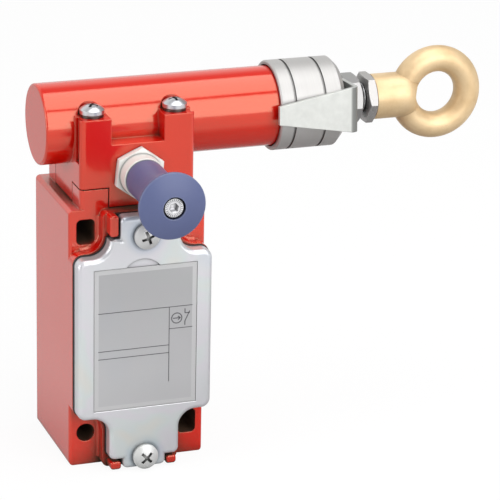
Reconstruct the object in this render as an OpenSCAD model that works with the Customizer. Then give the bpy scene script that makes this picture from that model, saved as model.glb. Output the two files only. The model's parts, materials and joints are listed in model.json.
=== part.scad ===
// Rope pull switch: latching safety switch with tension indicator and pull reset.
// Frame: +X along the head tube towards the rope eye, +Y to the mounting wall,
// +Z up. The origin is the centre of the fixing holes on the rear face.

/* [Fixing holes] */
// Distance between the fixing hole centres across the body, mm
hole_pitch_x = 30; // [28:0.5:32]
// Distance between the fixing hole centres up the body, mm
hole_pitch_z = 60; // [58:0.5:64]
// Diameter of the round fixing holes and width of the slots, mm
hole_d = 5.3; // [4.3:0.1:5.5]
// Overall length of the fixing slots, mm
slot_length = 7.3; // [6:0.1:8]
// Corner radius of the fixing slots, mm
slot_corner = 1.4; // [0.8:0.1:2]

/* [Housing] */
// Width of the housing, mm
body_w = 39.6; // [38:0.2:44]
// Housing height above the upper fixing holes, mm
body_over = 6.4; // [5.8:0.1:8]
// Housing height below the lower fixing holes, mm
body_under = 9.7; // [8:0.1:14]
// Depth of the corner columns from the wall, mm
column_depth = 34; // [33:0.5:38]
// Height of the sealing rim in front of the columns, mm
rim_step = 3.4; // [2.6:0.2:5]
// Half width of the central box of the housing, mm
box_half = 11.1; // [10.8:0.1:11.6]
// Top edge of the wide middle section above the origin, mm
mid_top = 24.8; // [23:0.2:25]
// Bottom edge of the wide middle section below the origin, mm
mid_bottom = 23.6; // [22:0.2:25]
// Radius of the fillets between box and middle section, mm
pocket_fillet = 5; // [3:0.5:5.5]
// Radius of the fillet at the foot of the box in the pockets, mm
foot_fillet = 0.8; // [0.4:0.1:1]
// Corner radius at both ends of the central box, mm
box_corner = 1.9; // [0.6:0.1:2.2]
// Corner radius of the wide middle section, mm
mid_corner = 3; // [2:0.2:3.6]
// Radius of the housing corners, mm
body_corner = 1.2; // [0.6:0.2:2]
// Wall thickness of the casting, mm
wall = 2.6; // [2:0.2:3]
// Clear diameter of the cable entry thread, mm
entry_d = 18.5; // [14:0.5:18.5]

/* [Cover] */
// Thickness of the cover gasket, mm
gasket_t = 0.8; // [0.5:0.1:1.5]
// Depth of the pressed cover, mm
cover_depth = 4; // [3.5:0.1:5]
// Edge rounding of the cover, mm
cover_round = 1.3; // [0.6:0.1:1.6]
// Corner radius of the wide part of the cover, mm
cover_corner = 2.6; // [2:0.1:4]
// Set-back of the cover from the sides of the housing, mm
cover_inset = 0.3; // [0.2:0.1:1.5]
// Half width of the tabs that take the screws, mm
tab_half = 10.2; // [9.8:0.1:10.2]
// Radius of the fillets between tabs and wide part, mm
tab_fillet = 5; // [3:0.5:5.5]
// Half width of the upper tip of the cover, mm
tip_top_half = 7.3; // [6.8:0.1:7.4]
// Half width of the lower tip of the cover, mm
tip_bottom_half = 6.3; // [5:0.1:6.6]
// Height of the upper cover screw, mm
cover_screw_top = 30.3; // [29:0.1:31]
// Depth of the lower cover screw below the origin, mm
cover_screw_bottom = 35.5; // [35:0.1:36]
// Width of the label field, mm
label_w = 30; // [20:0.5:31]
// Height of the label field, mm
label_h = 42; // [30:0.5:43]
// Depth of the label field, mm
label_sink = 0.4; // [0.3:0.05:0.6]

/* [Head] */
// Side of the square head block, mm
head_w = 33; // [32.6:0.2:34]
// Height of the corner pedestals that carry the head, mm
pedestal_h = 5.6; // [5.2:0.1:6.4]
// Width of the notches between the pedestals, mm
notch_w = 17; // [16:0.2:17.4]
// Gap of the seam between head and housing, mm
seam = 0.3; // [0.2:0.05:0.4]
// Height of the block between the screw posts, mm
block_h = 12.5; // [12:0.5:13]
// Height of the screw posts, mm
post_h = 19.9; // [19:0.1:21]
// How much lower the rear posts are, mm
rear_drop = 0.8; // [0:0.1:1.5]
// Side of the screw posts, mm
post_w = 8.9; // [8.4:0.1:9.2]
// Distance between the head screws both ways, mm
head_screw_pitch = 23.8; // [23.4:0.1:24.2]
// Width of the grooves down the sides of the posts, mm
post_groove_w = 3.4; // [2:0.1:3.4]
// Depth of the grooves down the sides of the posts, mm
post_groove_t = 1; // [0.5:0.1:1.2]
// Edge rounding of the head block, mm
head_round = 1.5; // [0.8:0.1:2]

/* [Tube and indicator] */
// Height of the tube axis above the head seam, mm
axis_rise = 15; // [14.6:0.1:15.2]
// Diameter of the tube, mm
tube_d = 22.8; // [22.4:0.1:23.4]
// Inside diameter of the tube, mm
bore_d = 17.6; // [17.2:0.1:17.8]
// Length of the tube left of the switch axis, mm
tube_left = 24.6; // [24:0.2:28]
// Edge rounding of the tube's closed end, mm
tube_round = 0.6; // [0.4:0.1:2]
// Distance of the indicator sleeve from the switch axis, mm
sleeve_start = 43.4; // [40:0.2:46]
// Length of the indicator sleeve, mm
sleeve_l = 19.8; // [18:0.2:22]
// Diameter of the indicator sleeve, mm
sleeve_d = 25.7; // [25.3:0.1:27]
// Distance of the first ring groove from the sleeve's rim, mm
groove_1 = 4.3; // [4:0.1:6]
// Distance of the second ring groove from the sleeve's rim, mm
groove_2 = 13.3; // [10:0.1:15]
// Width of the ring grooves, mm
groove_w = 0.7; // [0.4:0.1:1.2]

/* [Pull rod] */
// Travel of the rope rod, mm
rod_travel = 16; // [8:0.5:16]
// Diameter of the rope rod, mm
rod_d = 8; // [7:0.5:8]
// Thickness of the stirrup strip, mm
strip_t = 1.2; // [1:0.1:1.6]
// Height of the stirrup at its bend, mm
strip_h = 12.9; // [11:0.1:14]
// Height of the stirrup's pointer tips, mm
tip_h = 5.3; // [4:0.1:7]
// Length of the stirrup arms, mm
arm_l = 24; // [22:0.1:26]
// Outside radius of the stirrup's two bends, mm
bend_r = 2.2; // [1.6:0.1:3]
// Turn of the stirrup about the rod, degrees
stirrup_turn = -4; // [-20:1:20]
// Width across flats of the rod nuts, mm
nut_af = 13; // [12:0.5:13]
// Thickness of the rod nuts, mm
nut_t = 4.4; // [3:0.1:5]
// Thickness of the jam nut, mm
jam_t = 2.8; // [2.4:0.1:4]
// Free thread between the two nuts, mm
thread_gap = 1.7; // [0.6:0.1:4]

/* [Rope eye] */
// Inside diameter of the rope eye, mm
eye_hole = 12.3; // [10:0.1:14]
// Section diameter of the rope eye, mm
eye_section = 7.6; // [7:0.1:9]
// Diameter of the eye's shank, mm
shank_d = 13.1; // [12:0.1:14]
// Distance from the eye's centre to the end of its shank, mm
eye_reach = 20.1; // [18:0.1:22]

/* [Reset knob] */
// Height of the reset axis above the head seam, mm
reset_rise = 4.2; // [4.1:0.1:4.8]
// Width across flats of the reset bushing, mm
bushing_af = 13; // [12.4:0.2:14]
// Height of the bushing's hexagon, mm
bushing_h = 2.6; // [2:0.1:4]
// Diameter of the round collar in front of the hexagon, mm
collar_d = 11.9; // [10:0.1:12.2]
// Length of the round collar, mm
collar_l = 4.4; // [3:0.1:6]
// Diameter of the knob at its disc, mm
knob_d = 18.7; // [16:0.1:20]
// Diameter of the knob at its neck, mm
knob_neck = 11.2; // [10:0.2:12]
// Length of the knob, mm
knob_l = 25.8; // [23:0.2:30]
// Height of the dome on the knob's face, mm
knob_dome = 2.2; // [1.4:0.1:3]
// Travel of the reset knob, mm
reset_travel = 5; // [3:0.5:5]

/* [Mechanism] */
// Stroke of the plunger over the whole rod travel, mm
plunger_stroke = 2.4; // [1.6:0.1:2.4]
// Diameter of the plunger, mm
plunger_d = 8; // [7:0.5:8]
// Diameter of the latch pin's tip, mm
latch_d = 3; // [2:0.2:3]
// Running clearance on radius of the guided shafts, mm
run_fit = 0.06; // [0.02:0.01:0.1]
// Clearance between pieces that only pass each other, mm
gap = 0.3; // [0.2:0.05:0.4]

/* [View] */
// Sub-part to draw, or all

/* [Hidden] */
$fn = 64;

e = 0.01;
half_w = body_w / 2;
z_top = hole_pitch_z / 2 + body_over;
z_bot = -hole_pitch_z / 2 - body_under;
z_floor = z_top;
z_seam = z_top + pedestal_h;
y_col = -column_depth;
y_rim = y_col - rim_step;
y_seat = y_rim - gasket_t;
y_cover = y_seat - cover_depth;

head_half = head_w / 2;
apron_foot = 1.2;
y_ax = y_col + head_half;
notch_half = notch_w / 2;
z_post = z_seam + post_h;
z_ax = z_seam + axis_rise;
z_reset = z_seam + reset_rise;
screw_half = head_screw_pitch / 2;
groove_off = tube_d / 2 + 0.35 + post_groove_w / 2;

// cavity of the housing
cav_x = half_w - wall - 0.2;
cav_top = mid_top - wall;
cav_bottom = mid_bottom - wall;
neck_x = tab_half - 2.2;
neck_top = cover_screw_top - 3.2;
neck_bottom = hole_pitch_z / 2;
y_back = -wall;

// cover outline
cover_top = mid_top - 0.4;
cover_bottom = mid_bottom - 0.4;
cover_half = half_w - cover_inset;
shoulder_top = cover_screw_top - 0.5;
shoulder_bottom = cover_screw_bottom + 0.6;
tip_top = z_floor - 0.4;
tip_bottom = -z_bot - 0.6;
tab_corner = 1.8;
lug_front = y_cover + 0.8;
lug_gap = 0.3;
lug_top_out = 10.1;
lug_top_low = shoulder_top + 0.5;
lug_bottom_out = 9.65;
lug_bottom_low = z_bot + 0.35;
lug_bottom_high = -shoulder_bottom - 0.85;
thumb_r = 6.3;
label_mid = (cover_top - cover_bottom) / 2 - 0.3;
screw_d = 4;
cover_screw_in = 8.6;
pan_d = 7.3;
pan_h = 2.6;
head_pan_d = 6.9;
head_pan_h = 2.5;
washer_t = 0.9;
washer_r = 3.25;
head_screw_in = 6.6;
post_groove_rise = 7.3;

// bosses inside the housing
boss_r = 3.4;
earth_rise = 5.4;
earth_boss_h = 1.6;
earth_pan_d = 6.4;
blind_wall = 0.9;

// tube and sleeve
tube_r = tube_d / 2;
bore_r = bore_d / 2;
sleeve_r = sleeve_d / 2;
sleeve_end = sleeve_start + sleeve_l;
end_wall = 3;
spigot_r = tube_r - 0.9;
x_spigot = sleeve_start + 2.8;
x_spigot_end = sleeve_end - end_wall - 0.2;
cap_t = 3.1;
x_bore = -tube_left + cap_t;
rod_r = rod_d / 2;
sleeve_chamfer = 1.6;
groove_deep = 0.45;
bush_flange_r = 6;
bush_neck_r = 5.6;
bush_neck_l = 2;
wiper_r = 7.6;
wiper_lip_r = 5.2;
wiper_t = 1.3;

// rod train, from the sleeve outwards
x_plate = sleeve_end + 1.7;
x_bend = x_plate + strip_t;
x_nut_1 = x_bend;
x_nut_2 = x_nut_1 + nut_t + thread_gap;
x_shank = x_nut_2 + jam_t;
x_eye = x_shank + eye_reach;
eye_r = (eye_hole + eye_section) / 2;
thread_in = 11;
arm_in = sleeve_r + 0.4;
arm_out = arm_in + strip_t;
bend_run = bend_r - 0.1;
eye_blend = 1.2;

// cam and plunger
cam_slope = plunger_stroke / rod_travel;
cam_r0 = rod_r + 0.6;
cam_end = 1;
cam_start = x_bore + 1;
dome_r = 6;
touch = 0.05;
plunger_r = plunger_d / 2;
dome_z = z_ax - cam_r0 - (dome_r + touch) * sqrt(1 + cam_slope * cam_slope);
plunger_bottom = neck_top - 3.1;
seat_x = 18.4;
seat_t = 3.8;
seat_hub_l = 3;
seat_hub_r = 5.4;

// pin that holds the cam, main spring, guide and seal
cross_x = -15;
cross_r = 1.25;
cross_l = 11.6;
spring_turns = 7;
spring_wire = 2;
spring_r = seat_hub_r + 0.4 + spring_wire / 2;
spring_slack = 0.1;
guide_r = 6;
guide_l = 6.2;
seal_r = 7;
seal_w = 1.6;
seal_t = 1.2;

// reset
bushing_r = 4.6;
bushing_in = reset_travel + 2.4;
chamber_r = 3.5;
y_hex = y_col - bushing_h;
y_collar = y_hex - collar_l;
collar_wall = 1.6;
y_chamber = y_collar + collar_wall;
y_knob = y_collar - gap;
shoulder_y = y_col + bushing_in - gap;
shoulder_t = 1.4;
pin_r = 2;
pin_depth = 1.9;
latch_turns = 5.5;
latch_coil_r = 2.75;
latch_wire = 0.5;
y_tip = y_ax - plunger_r + pin_depth;
recess_r = 3.15;
recess_t = 3.4;
knob_head_r = recess_r - 0.5;
knob_head_t = 2.6;
socket_af = 2.5;
neck_l = 6;
knob_rim = 0.9;
knob_bore = 2.5;
pin_in = 0.55 * knob_l;
bore_in = 0.25 * knob_l;

// contact block
blk_half = 14;
blk_top = 20;
blk_bottom = -14;
blk_back = y_back - 1.4;
blk_front = y_ax - 7.5;
bridge_half = 2;
carrier_half = 3.6;
window_back = y_ax + bridge_half + 2;
chan_half = 4.2;
bridge_nc = 10.6;
bridge_no = 3;
tip_t = 0.8;
strip_c = 0.8;
nc_tip = bridge_nc + strip_c + tip_t + touch;
no_tip = bridge_no - tip_t - plunger_stroke - touch;
term_x = 9.6;
term_nc = 17;
term_no = -5.6;
carrier_bottom = -3;
spring_floor = -11;
blk_screw_x = 11.8;
blk_screw_z = 6.4;
blk_screw_d = 3;
blk_pan_d = 4.2;
blk_pan_h = 1.8;

// contacts and their screws
window_half = 10;
contact_x = 7.4;
contact_r = 1.3;
bridge_end = contact_x + 1.8;
strip_in = contact_x - 1.8;
strip_out = contact_x + 2;
plate_out = blk_half - 0.4;
plate_half_h = 3;
term_screw_d = 3;
term_screw_l = 7;
term_pan_d = 5.6;
term_pan_h = 2;
return_turns = 5;
return_coil_r = 2.5;
return_wire = 0.5;

// ---------- helpers ----------

// along -Y from y, centred at x, z
module bar_y(x, z, y, l, r) {
  translate([x, y, z])
    rotate([90, 0, 0])
      cylinder(h = l, r = r);
}

// along +X from x, on the tube axis
module bar_x(x, l, r) {
  translate([x, y_ax, z_ax])
    rotate([0, 90, 0])
      cylinder(h = l, r = r);
}

// a box given by two corners
module span(a, b) {
  translate(a)
    cube(b - a);
}

// rectangle with true arcs at its corners
module soft_rect(w, h, r) {
  square([w - 2 * r, h], center = true);
  square([w, h - 2 * r], center = true);
  for (sx = [-1, 1])
    for (sy = [-1, 1])
      translate([sx * (w / 2 - r), sy * (h / 2 - r)])
        circle(r);
}

// section of a plate with its two front edges rounded
module edge_section(w, d, r) {
  translate([-w / 2, 0])
    square([w, d - r]);
  translate([-w / 2 + r, 0])
    square([w - 2 * r, d]);
  for (s = [-1, 1])
    translate([s * (w / 2 - r), d - r])
      circle(r);
}

// plate standing in the XZ plane from y = 0 to -d, front edges rounded
module soft_plate(w, h, d, rc, re) {
  translate([0, 0, -h / 2 + rc])
    linear_extrude(h - 2 * rc)
      mirror([0, 1])
        edge_section(w, d, re);
  translate([-w / 2 + rc, 0, 0])
    rotate([90, 0, 90])
      linear_extrude(w - 2 * rc)
        rotate(90)
          edge_section(h, d, re);
  for (sx = [-1, 1])
    for (sz = [-1, 1])
      translate([sx * (w / 2 - rc), 0, sz * (h / 2 - rc)])
        rotate([90, 0, 0])
          puck(rc, d, re);
}

// disc with its far edge rounded
module puck(r, d, re) {
  rotate_extrude() {
    square([r, d - re]);
    square([r - re, d]);
    translate([r - re, d - re])
      intersection() {
        circle(re);
        square(re);
      }
  }
}

// outline made of a wide part, a tall part and fillets in its corners
module cross_outline(wide, top, bottom, tall, up, down, rc, rt, rf) {
  translate([0, (top - bottom) / 2])
    soft_rect(2 * wide, top + bottom, rc);
  translate([0, (up - down) / 2])
    soft_rect(2 * tall, up + down, rt);
  if (rf > 0)
    for (s = [-1, 1]) {
      corner_fill(s * tall, top, s, 1, rf);
      corner_fill(s * tall, -bottom, s, -1, rf);
    }
}

// concave fillet in the corner at x, z that opens towards sx, sz
module corner_fill(x, z, sx, sz, r) {
  translate([x, z])
    difference() {
      translate([sx > 0 ? -1 : -r, sz > 0 ? -1 : -r])
        square(r + 1);
      translate([sx * r, sz * r])
        circle(r);
    }
}

module front_extrude(y, t) {
  translate([0, y, 0])
    rotate([90, 0, 0])
      linear_extrude(t)
        children();
}

// hexagon nut along Z with both ends chamfered, a corner pointing to +X
module hex_nut(af, t, hole) {
  difference() {
    intersection() {
      cylinder(h = t, r = af / sqrt(3), $fn = 6);
      rotate_extrude()
        polygon([
          [0, 0], [af * 0.48, 0], [af / sqrt(3), t * 0.16],
          [af / sqrt(3), t * 0.84], [af * 0.48, t], [0, t]
        ]);
    }
    translate([0, 0, -1])
      cylinder(h = t + 2, r = hole / 2);
  }
}

// pan head screw along -Z, the head's seat at z = 0, cross recess on top
module pan_screw(d, l, head, h) {
  difference() {
    union() {
      translate([0, 0, -l])
        cylinder(h = l + e, d = d);
      pan_head(head / 2, h);
    }
    translate([0, 0, h * 0.45]) {
      for (a = [0, 90])
        rotate(a)
          translate([-head * 0.27, -head * 0.055, 0])
            cube([head * 0.54, head * 0.11, h]);
      cylinder(h = h, d = head * 0.2);
    }
  }
}

// domed head: a short rim and a cap of a sphere
module pan_head(r, h) {
  rim = h * 0.45;
  cap = h - rim;
  ball = (r * r + cap * cap) / (2 * cap);
  cylinder(h = rim + e, r = r);
  intersection() {
    translate([0, 0, h - ball])
      sphere(ball);
    cylinder(h = h + 1, r = r);
  }
}

// coil spring swept along Z from 0 to l
module coil(l, turns, r, wire, steps = 14, sides = 8) {
  n = round(turns * steps);
  pitch = (l - wire) / turns;
  lead = atan2(pitch, 2 * PI * r);
  pts = [
    for (i = [0 : n])
      let (a = 360 * i / steps, z = wire / 2 + pitch * i / steps)
        for (j = [0 : sides - 1])
          let (b = 360 * j / sides, u = cos(b) * wire / 2, v = sin(b) * wire / 2)
            [
              (r + u) * cos(a) + v * sin(lead) * sin(a),
              (r + u) * sin(a) - v * sin(lead) * cos(a),
              z + v * cos(lead)
            ]
  ];
  sides_f = [
    for (i = [0 : n - 1])
      for (j = [0 : sides - 1])
        let (k = (j + 1) % sides)
          [i * sides + j, (i + 1) * sides + j, (i + 1) * sides + k, i * sides + k]
  ];
  start_f = [[for (j = [0 : sides - 1]) j]];
  end_f = [[for (j = [sides - 1 : -1 : 0]) n * sides + j]];
  polyhedron(points = pts, faces = concat(sides_f, start_f, end_f), convexity = 10);
}

// ---------- housing ----------

module rim_outline() {
  cross_outline(half_w, mid_top, mid_bottom, box_half, z_floor, -z_bot, mid_corner, box_corner, 0);
}

module cavity_outline() {
  translate([0, (cav_top - cav_bottom) / 2])
    soft_rect(2 * cav_x, cav_top + cav_bottom, 2);
  translate([0, (neck_top - neck_bottom) / 2])
    soft_rect(2 * neck_x, neck_top + neck_bottom, 2);
}

module housing_shell() {
  // corner columns, rounded on their vertical and their front to back edges
  intersection() {
    front_extrude(0, column_depth)
      translate([0, (z_top + z_bot) / 2])
        soft_rect(body_w, z_top - z_bot, body_corner);
    translate([0, 0, z_bot - 1])
      linear_extrude(z_top - z_bot + 2)
        mirror([0, 1])
          edge_section(body_w, column_depth, 0.9);
  }
  front_extrude(0, -y_rim)
    rim_outline();
  for (s = [-1, 1]) {
    pocket_corner(s, mid_top, 1);
    pocket_corner(s, -mid_bottom, -1);
    side_foot(s, mid_top + pocket_fillet, z_top - box_corner);
    side_foot(s, z_bot + box_corner, -mid_bottom - pocket_fillet);
    ledge_foot(s, mid_top, 1);
    ledge_foot(s, -mid_bottom, -1);
  }
  // corner pedestals under the head
  for (sx = [-1, 1])
    for (sy = [-1, 1])
      pedestal(sx, sy);
  lugs(lug_top_low, z_floor, tip_top_half + lug_gap, lug_top_out);
  lugs(lug_bottom_low, lug_bottom_high, tip_bottom_half + lug_gap, lug_bottom_out);
}

// section of the concave fillet at the foot of a wall
module foot_section() {
  difference() {
    translate([-0.5, -0.5])
      square(foot_fillet + 0.5);
    translate([foot_fillet, foot_fillet])
      circle(foot_fillet);
  }
}

// foot fillet up the side of the box
module side_foot(s, z_low, z_high) {
  translate([s * box_half, y_col, z_low])
    linear_extrude(z_high - z_low)
      mirror([s < 0 ? 1 : 0, 0])
        mirror([0, 1])
          foot_section();
}

// foot fillet along the ledge of the middle section
module ledge_foot(s, z, up) {
  x_in = box_half + pocket_fillet;
  x_out = half_w - mid_corner;
  translate([s > 0 ? x_in : -x_out, y_col, z])
    rotate([90, 0, 90])
      linear_extrude(x_out - x_in)
        mirror([1, 0])
          mirror([0, up < 0 ? 1 : 0])
            foot_section();
}

// inner corner of a pocket: round in plan, with the foot fillet carried around
module pocket_corner(s, z, up) {
  r = pocket_fillet;
  xc = s * (box_half + r);
  zc = z + up * r;
  difference() {
    translate([s > 0 ? box_half - 1 : xc, y_rim, up > 0 ? z - 1 : zc])
      cube([r + 1, rim_step + 1, r + 1]);
    translate([xc, y_col, zc])
      rotate([90, 0, 0])
        rotate_extrude() {
          square([r - foot_fillet, rim_step + 1]);
          translate([0, foot_fillet])
            square([r, rim_step + 1]);
          translate([r - foot_fillet, foot_fillet])
            circle(foot_fillet);
        }
  }
}

module pedestal(sx, sy) {
  side = head_half - notch_half;
  intersection() {
    translate([0, y_ax, z_top - 1])
      linear_extrude(z_seam - z_top + 1)
        soft_rect(head_w, head_w, head_round);
    translate([sx * (notch_half + side / 2), y_ax + sy * (notch_half + side / 2), z_top])
      cube([side, side, 3 * pedestal_h], center = true);
  }
}

module lugs(z_low, z_high, inner, outer) {
  root = 3;
  for (s = [-1, 1])
    translate([s * (inner + outer) / 2, y_rim + root, (z_low + z_high) / 2])
      soft_plate(outer - inner, z_high - z_low, y_rim + root - lug_front, 0.8, 0.5);
}

module fixing_holes() {
  px = hole_pitch_x / 2;
  pz = hole_pitch_z / 2;
  for (s = [-1, 1]) {
    bar_y(s * px, s * pz, 1, column_depth + 2, hole_d / 2);
    front_extrude(1, column_depth + 2)
      translate([-s * px, s * pz])
        soft_rect(hole_d, slot_length, slot_corner);
  }
}

module housing() {
  color("firebrick")
  difference() {
    union() {
      difference() {
        housing_shell();
        front_extrude(y_back, 60)
          cavity_outline();
      }
      for (s = [-1, 1])
        bar_y(s * blk_screw_x, blk_screw_z, y_back + 0.5, -blk_back - wall + 0.5, boss_r);
      bar_y(0, -neck_bottom + earth_rise, y_back + 0.5, earth_boss_h + 0.5, boss_r);
    }
    fixing_holes();
    // cable entry from below
    translate([0, y_ax, z_bot - 1])
      cylinder(h = -z_bot - neck_bottom + 2, d = entry_d);
    // plunger passage
    translate([0, y_ax, neck_top - 1])
      cylinder(h = z_floor - neck_top + 2, r = plunger_r + gap);
    // cover screws
    bar_y(0, cover_screw_top, y_rim + cover_screw_in, cover_screw_in + 1, screw_d / 2);
    bar_y(0, -cover_screw_bottom, y_rim + cover_screw_in, cover_screw_in + 1, screw_d / 2);
    // head screws
    for (sx = [-1, 1])
      for (sy = [-1, 1])
        translate([sx * screw_half, y_ax + sy * screw_half, z_seam - head_screw_in - 0.2])
          cylinder(h = 20, d = screw_d);
    // contact block and earth screws
    for (s = [-1, 1])
      bar_y(s * blk_screw_x, blk_screw_z, -blind_wall, 20, blk_screw_d / 2);
    bar_y(0, -neck_bottom + earth_rise, -blind_wall, 10, blk_screw_d / 2);
  }
}

// ---------- cover ----------

// flared cutter that rounds the plate's edge around a concave fillet
module horn(x, z, r, re) {
  translate([x, y_seat + 1, z])
    rotate([90, 0, 0])
      rotate_extrude()
        difference() {
          square([r + re + 0.001, cover_depth + 2]);
          translate([r, 0])
            square([re + 1, cover_depth + 1 - re]);
          translate([r + re, cover_depth + 1 - re])
            circle(re);
        }
}

module cover_blank() {
  wide_h = cover_top + cover_bottom;
  tab_low = -shoulder_bottom;
  tab_high = shoulder_top;
  translate([0, y_seat, (cover_top - cover_bottom) / 2])
    soft_plate(2 * cover_half, wide_h, cover_depth, cover_corner, cover_round);
  translate([0, y_seat, (tab_high + tab_low) / 2])
    soft_plate(2 * tab_half, tab_high - tab_low, cover_depth, tab_corner, cover_round);
  translate([0, y_seat, (tip_top + label_mid) / 2])
    soft_plate(2 * tip_top_half, tip_top - label_mid, cover_depth, cover_round + 0.3, cover_round);
  translate([0, y_seat, (label_mid - tip_bottom) / 2])
    soft_plate(2 * tip_bottom_half, tip_bottom + label_mid, cover_depth, cover_round + 0.3, cover_round);
  for (s = [-1, 1]) {
    fill_block(s, cover_top, 1);
    fill_block(s, -cover_bottom, -1);
  }
}

// square stock in a corner of the outline, later cut by a horn
module fill_block(s, z, up) {
  w = tab_fillet + 2 * cover_round;
  translate([
    s > 0 ? tab_half - 2 * cover_round : -tab_half - tab_fillet,
    y_seat - cover_depth,
    up > 0 ? z - 2 * cover_round : z - tab_fillet
  ])
    cube([w, cover_depth, w]);
}

module cover() {
  color("lightgray")
  difference() {
    cover_blank();
    for (s = [-1, 1]) {
      horn(s * (tab_half + tab_fillet), cover_top + tab_fillet, tab_fillet, cover_round);
      horn(s * (tab_half + tab_fillet), -cover_bottom - tab_fillet, tab_fillet, cover_round);
    }
    // label field with a thumb relief above it
    front_extrude(y_cover + label_sink, 2)
      translate([0, label_mid])
        square([label_w, label_h], center = true);
    bar_y(-0.8, label_mid + label_h / 2 - 4, y_cover + label_sink, 2, thumb_r);
    // hollow back
    front_extrude(y_seat + 1, cover_depth - 0.4)
      translate([0, (cav_top - cav_bottom) / 2])
        soft_rect(2 * cav_x - 2, cav_top + cav_bottom - 2, 2);
    // screw holes
    bar_y(0, cover_screw_top, y_seat + 1, 10, screw_d / 2 + 0.2);
    bar_y(0, -cover_screw_bottom, y_seat + 1, 10, screw_d / 2 + 0.2);
  }
}

module cover_gasket() {
  grow = 0.2;
  color("dimgray")
  difference() {
    front_extrude(y_rim, gasket_t) {
      cross_outline(cover_half + grow, cover_top + grow, cover_bottom + grow,
                    tab_half + grow, shoulder_top + grow, shoulder_bottom + grow,
                    cover_corner + grow, tab_corner, tab_fillet - grow);
      translate([0, tip_top / 2])
        square([2 * tip_top_half, tip_top], center = true);
      translate([0, -tip_bottom / 2])
        square([2 * tip_bottom_half, tip_bottom], center = true);
    }
    front_extrude(y_rim + 1, gasket_t + 2)
      cavity_outline();
    bar_y(0, cover_screw_top, y_rim + 1, 5, screw_d / 2 + 0.1);
    bar_y(0, -cover_screw_bottom, y_rim + 1, 5, screw_d / 2 + 0.1);
  }
}

module cover_screws() {
  color("silver")
  for (z = [cover_screw_top, -cover_screw_bottom])
    translate([0, y_cover, z])
      rotate([90, 0, 0])
        rotate(z > 0 ? 20 : 45)
          pan_screw(screw_d, y_rim + cover_screw_in - y_cover - gap, pan_d, pan_h);
}

module label_plate() {
  color("gainsboro")
  front_extrude(y_cover + label_sink, label_sink - 0.1)
    translate([0, label_mid])
      square([label_w - 0.2, label_h - 0.2], center = true);
}

// ---------- head ----------

module head_block() {
  // block above the seam
  translate([0, y_ax, z_seam + seam])
    linear_extrude(block_h - seam)
      soft_rect(head_w, head_w, head_round);
  // cross of aprons in the notches
  for (a = [0, 90])
    translate([0, y_ax, z_floor])
      rotate(a) {
        translate([0, 0, seam])
          linear_extrude(z_seam - z_floor + 1 - seam)
            square([head_w, notch_w - 2 * seam], center = true);
        // foot that bears on the housing, set back behind the shadow gap
        linear_extrude(1)
          square([head_w - 2 * apron_foot, notch_w - 2 * apron_foot], center = true);
      }
  // screw posts
  for (sx = [-1, 1])
    for (sy = [-1, 1])
      post(sx, sy);
  // tube with its spigot
  translate([x_spigot, y_ax, z_ax])
    rotate([0, -90, 0])
      puck(tube_r, tube_left + x_spigot, tube_round);
  bar_x(0, x_spigot_end, spigot_r);
}

function post_drop(sy) = sy > 0 ? rear_drop : 0;

module post(sx, sy) {
  intersection() {
    translate([0, y_ax, z_seam + 1])
      linear_extrude(post_h - 1 - post_drop(sy))
        soft_rect(head_w, head_w, head_round);
    translate([sx * (head_half - post_w / 2), y_ax + sy * (head_half - post_w / 2), z_ax])
      cube([post_w, post_w, 60], center = true);
  }
}

module head_casting() {
  color("red")
  difference() {
    head_block();
    // mechanism bore
    bar_x(x_bore, 100, bore_r);
    // plunger passage with the pocket of its guide
    translate([0, y_ax, z_floor - 1])
      cylinder(h = z_ax - z_floor, r = plunger_r + gap);
    translate([0, y_ax, z_floor - 1])
      cylinder(h = 1 + gap + guide_l, r = guide_r);
    // groove of the head seal
    translate([0, y_ax, z_floor - 1])
      rotate_extrude()
        translate([seal_r, 0])
          square([seal_w, 1 + seal_t]);
    // reset bushing and latch pin
    bar_y(0, z_reset, y_col + bushing_in, 20, bushing_r);
    bar_y(0, z_reset, y_ax, head_half, latch_d / 2 + 0.5);
    // head screws with room for their heads beside the tube
    for (sx = [-1, 1])
      for (sy = [-1, 1])
        translate([sx * screw_half, y_ax + sy * screw_half, 0]) {
          translate([0, 0, z_seam - 1])
            cylinder(h = 40, r = screw_d / 2 + 0.15);
          translate([0, 0, z_post - post_drop(sy)])
            cylinder(h = 20, d = head_pan_d + 1);
        }
    // grooves down the outer faces of the posts
    for (sx = [-1, 1])
      for (sy = [-1, 1])
        let (y = y_ax + sy * groove_off)
          span([sx * head_half - post_groove_t, y - post_groove_w / 2, z_seam + post_groove_rise],
               [sx * head_half + post_groove_t, y + post_groove_w / 2, z_post + 1]);
  }
}

module head_seal() {
  color("dimgray")
  translate([0, y_ax, z_floor])
    rotate_extrude()
      translate([seal_r, 0])
        square([seal_w, seal_t]);
}

module head_screws() {
  color("silver")
  for (sx = [-1, 1])
    for (sy = [-1, 1])
      translate([sx * screw_half, y_ax + sy * screw_half, z_post + washer_t - post_drop(sy)])
        rotate(sx * 20 + sy * 15)
          pan_screw(screw_d, post_h + washer_t - post_drop(sy) + head_screw_in, head_pan_d, head_pan_h);
}

// washers under the head screws
module spring_washers() {
  color("dimgray")
  for (sx = [-1, 1])
    for (sy = [-1, 1])
      translate([sx * screw_half, y_ax + sy * screw_half, z_post - post_drop(sy)])
        difference() {
          cylinder(h = washer_t, r = washer_r);
          translate([0, 0, -1])
            cylinder(h = washer_t + 2, d = screw_d + 0.2);
        }
}

// ---------- sleeve ----------

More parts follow.
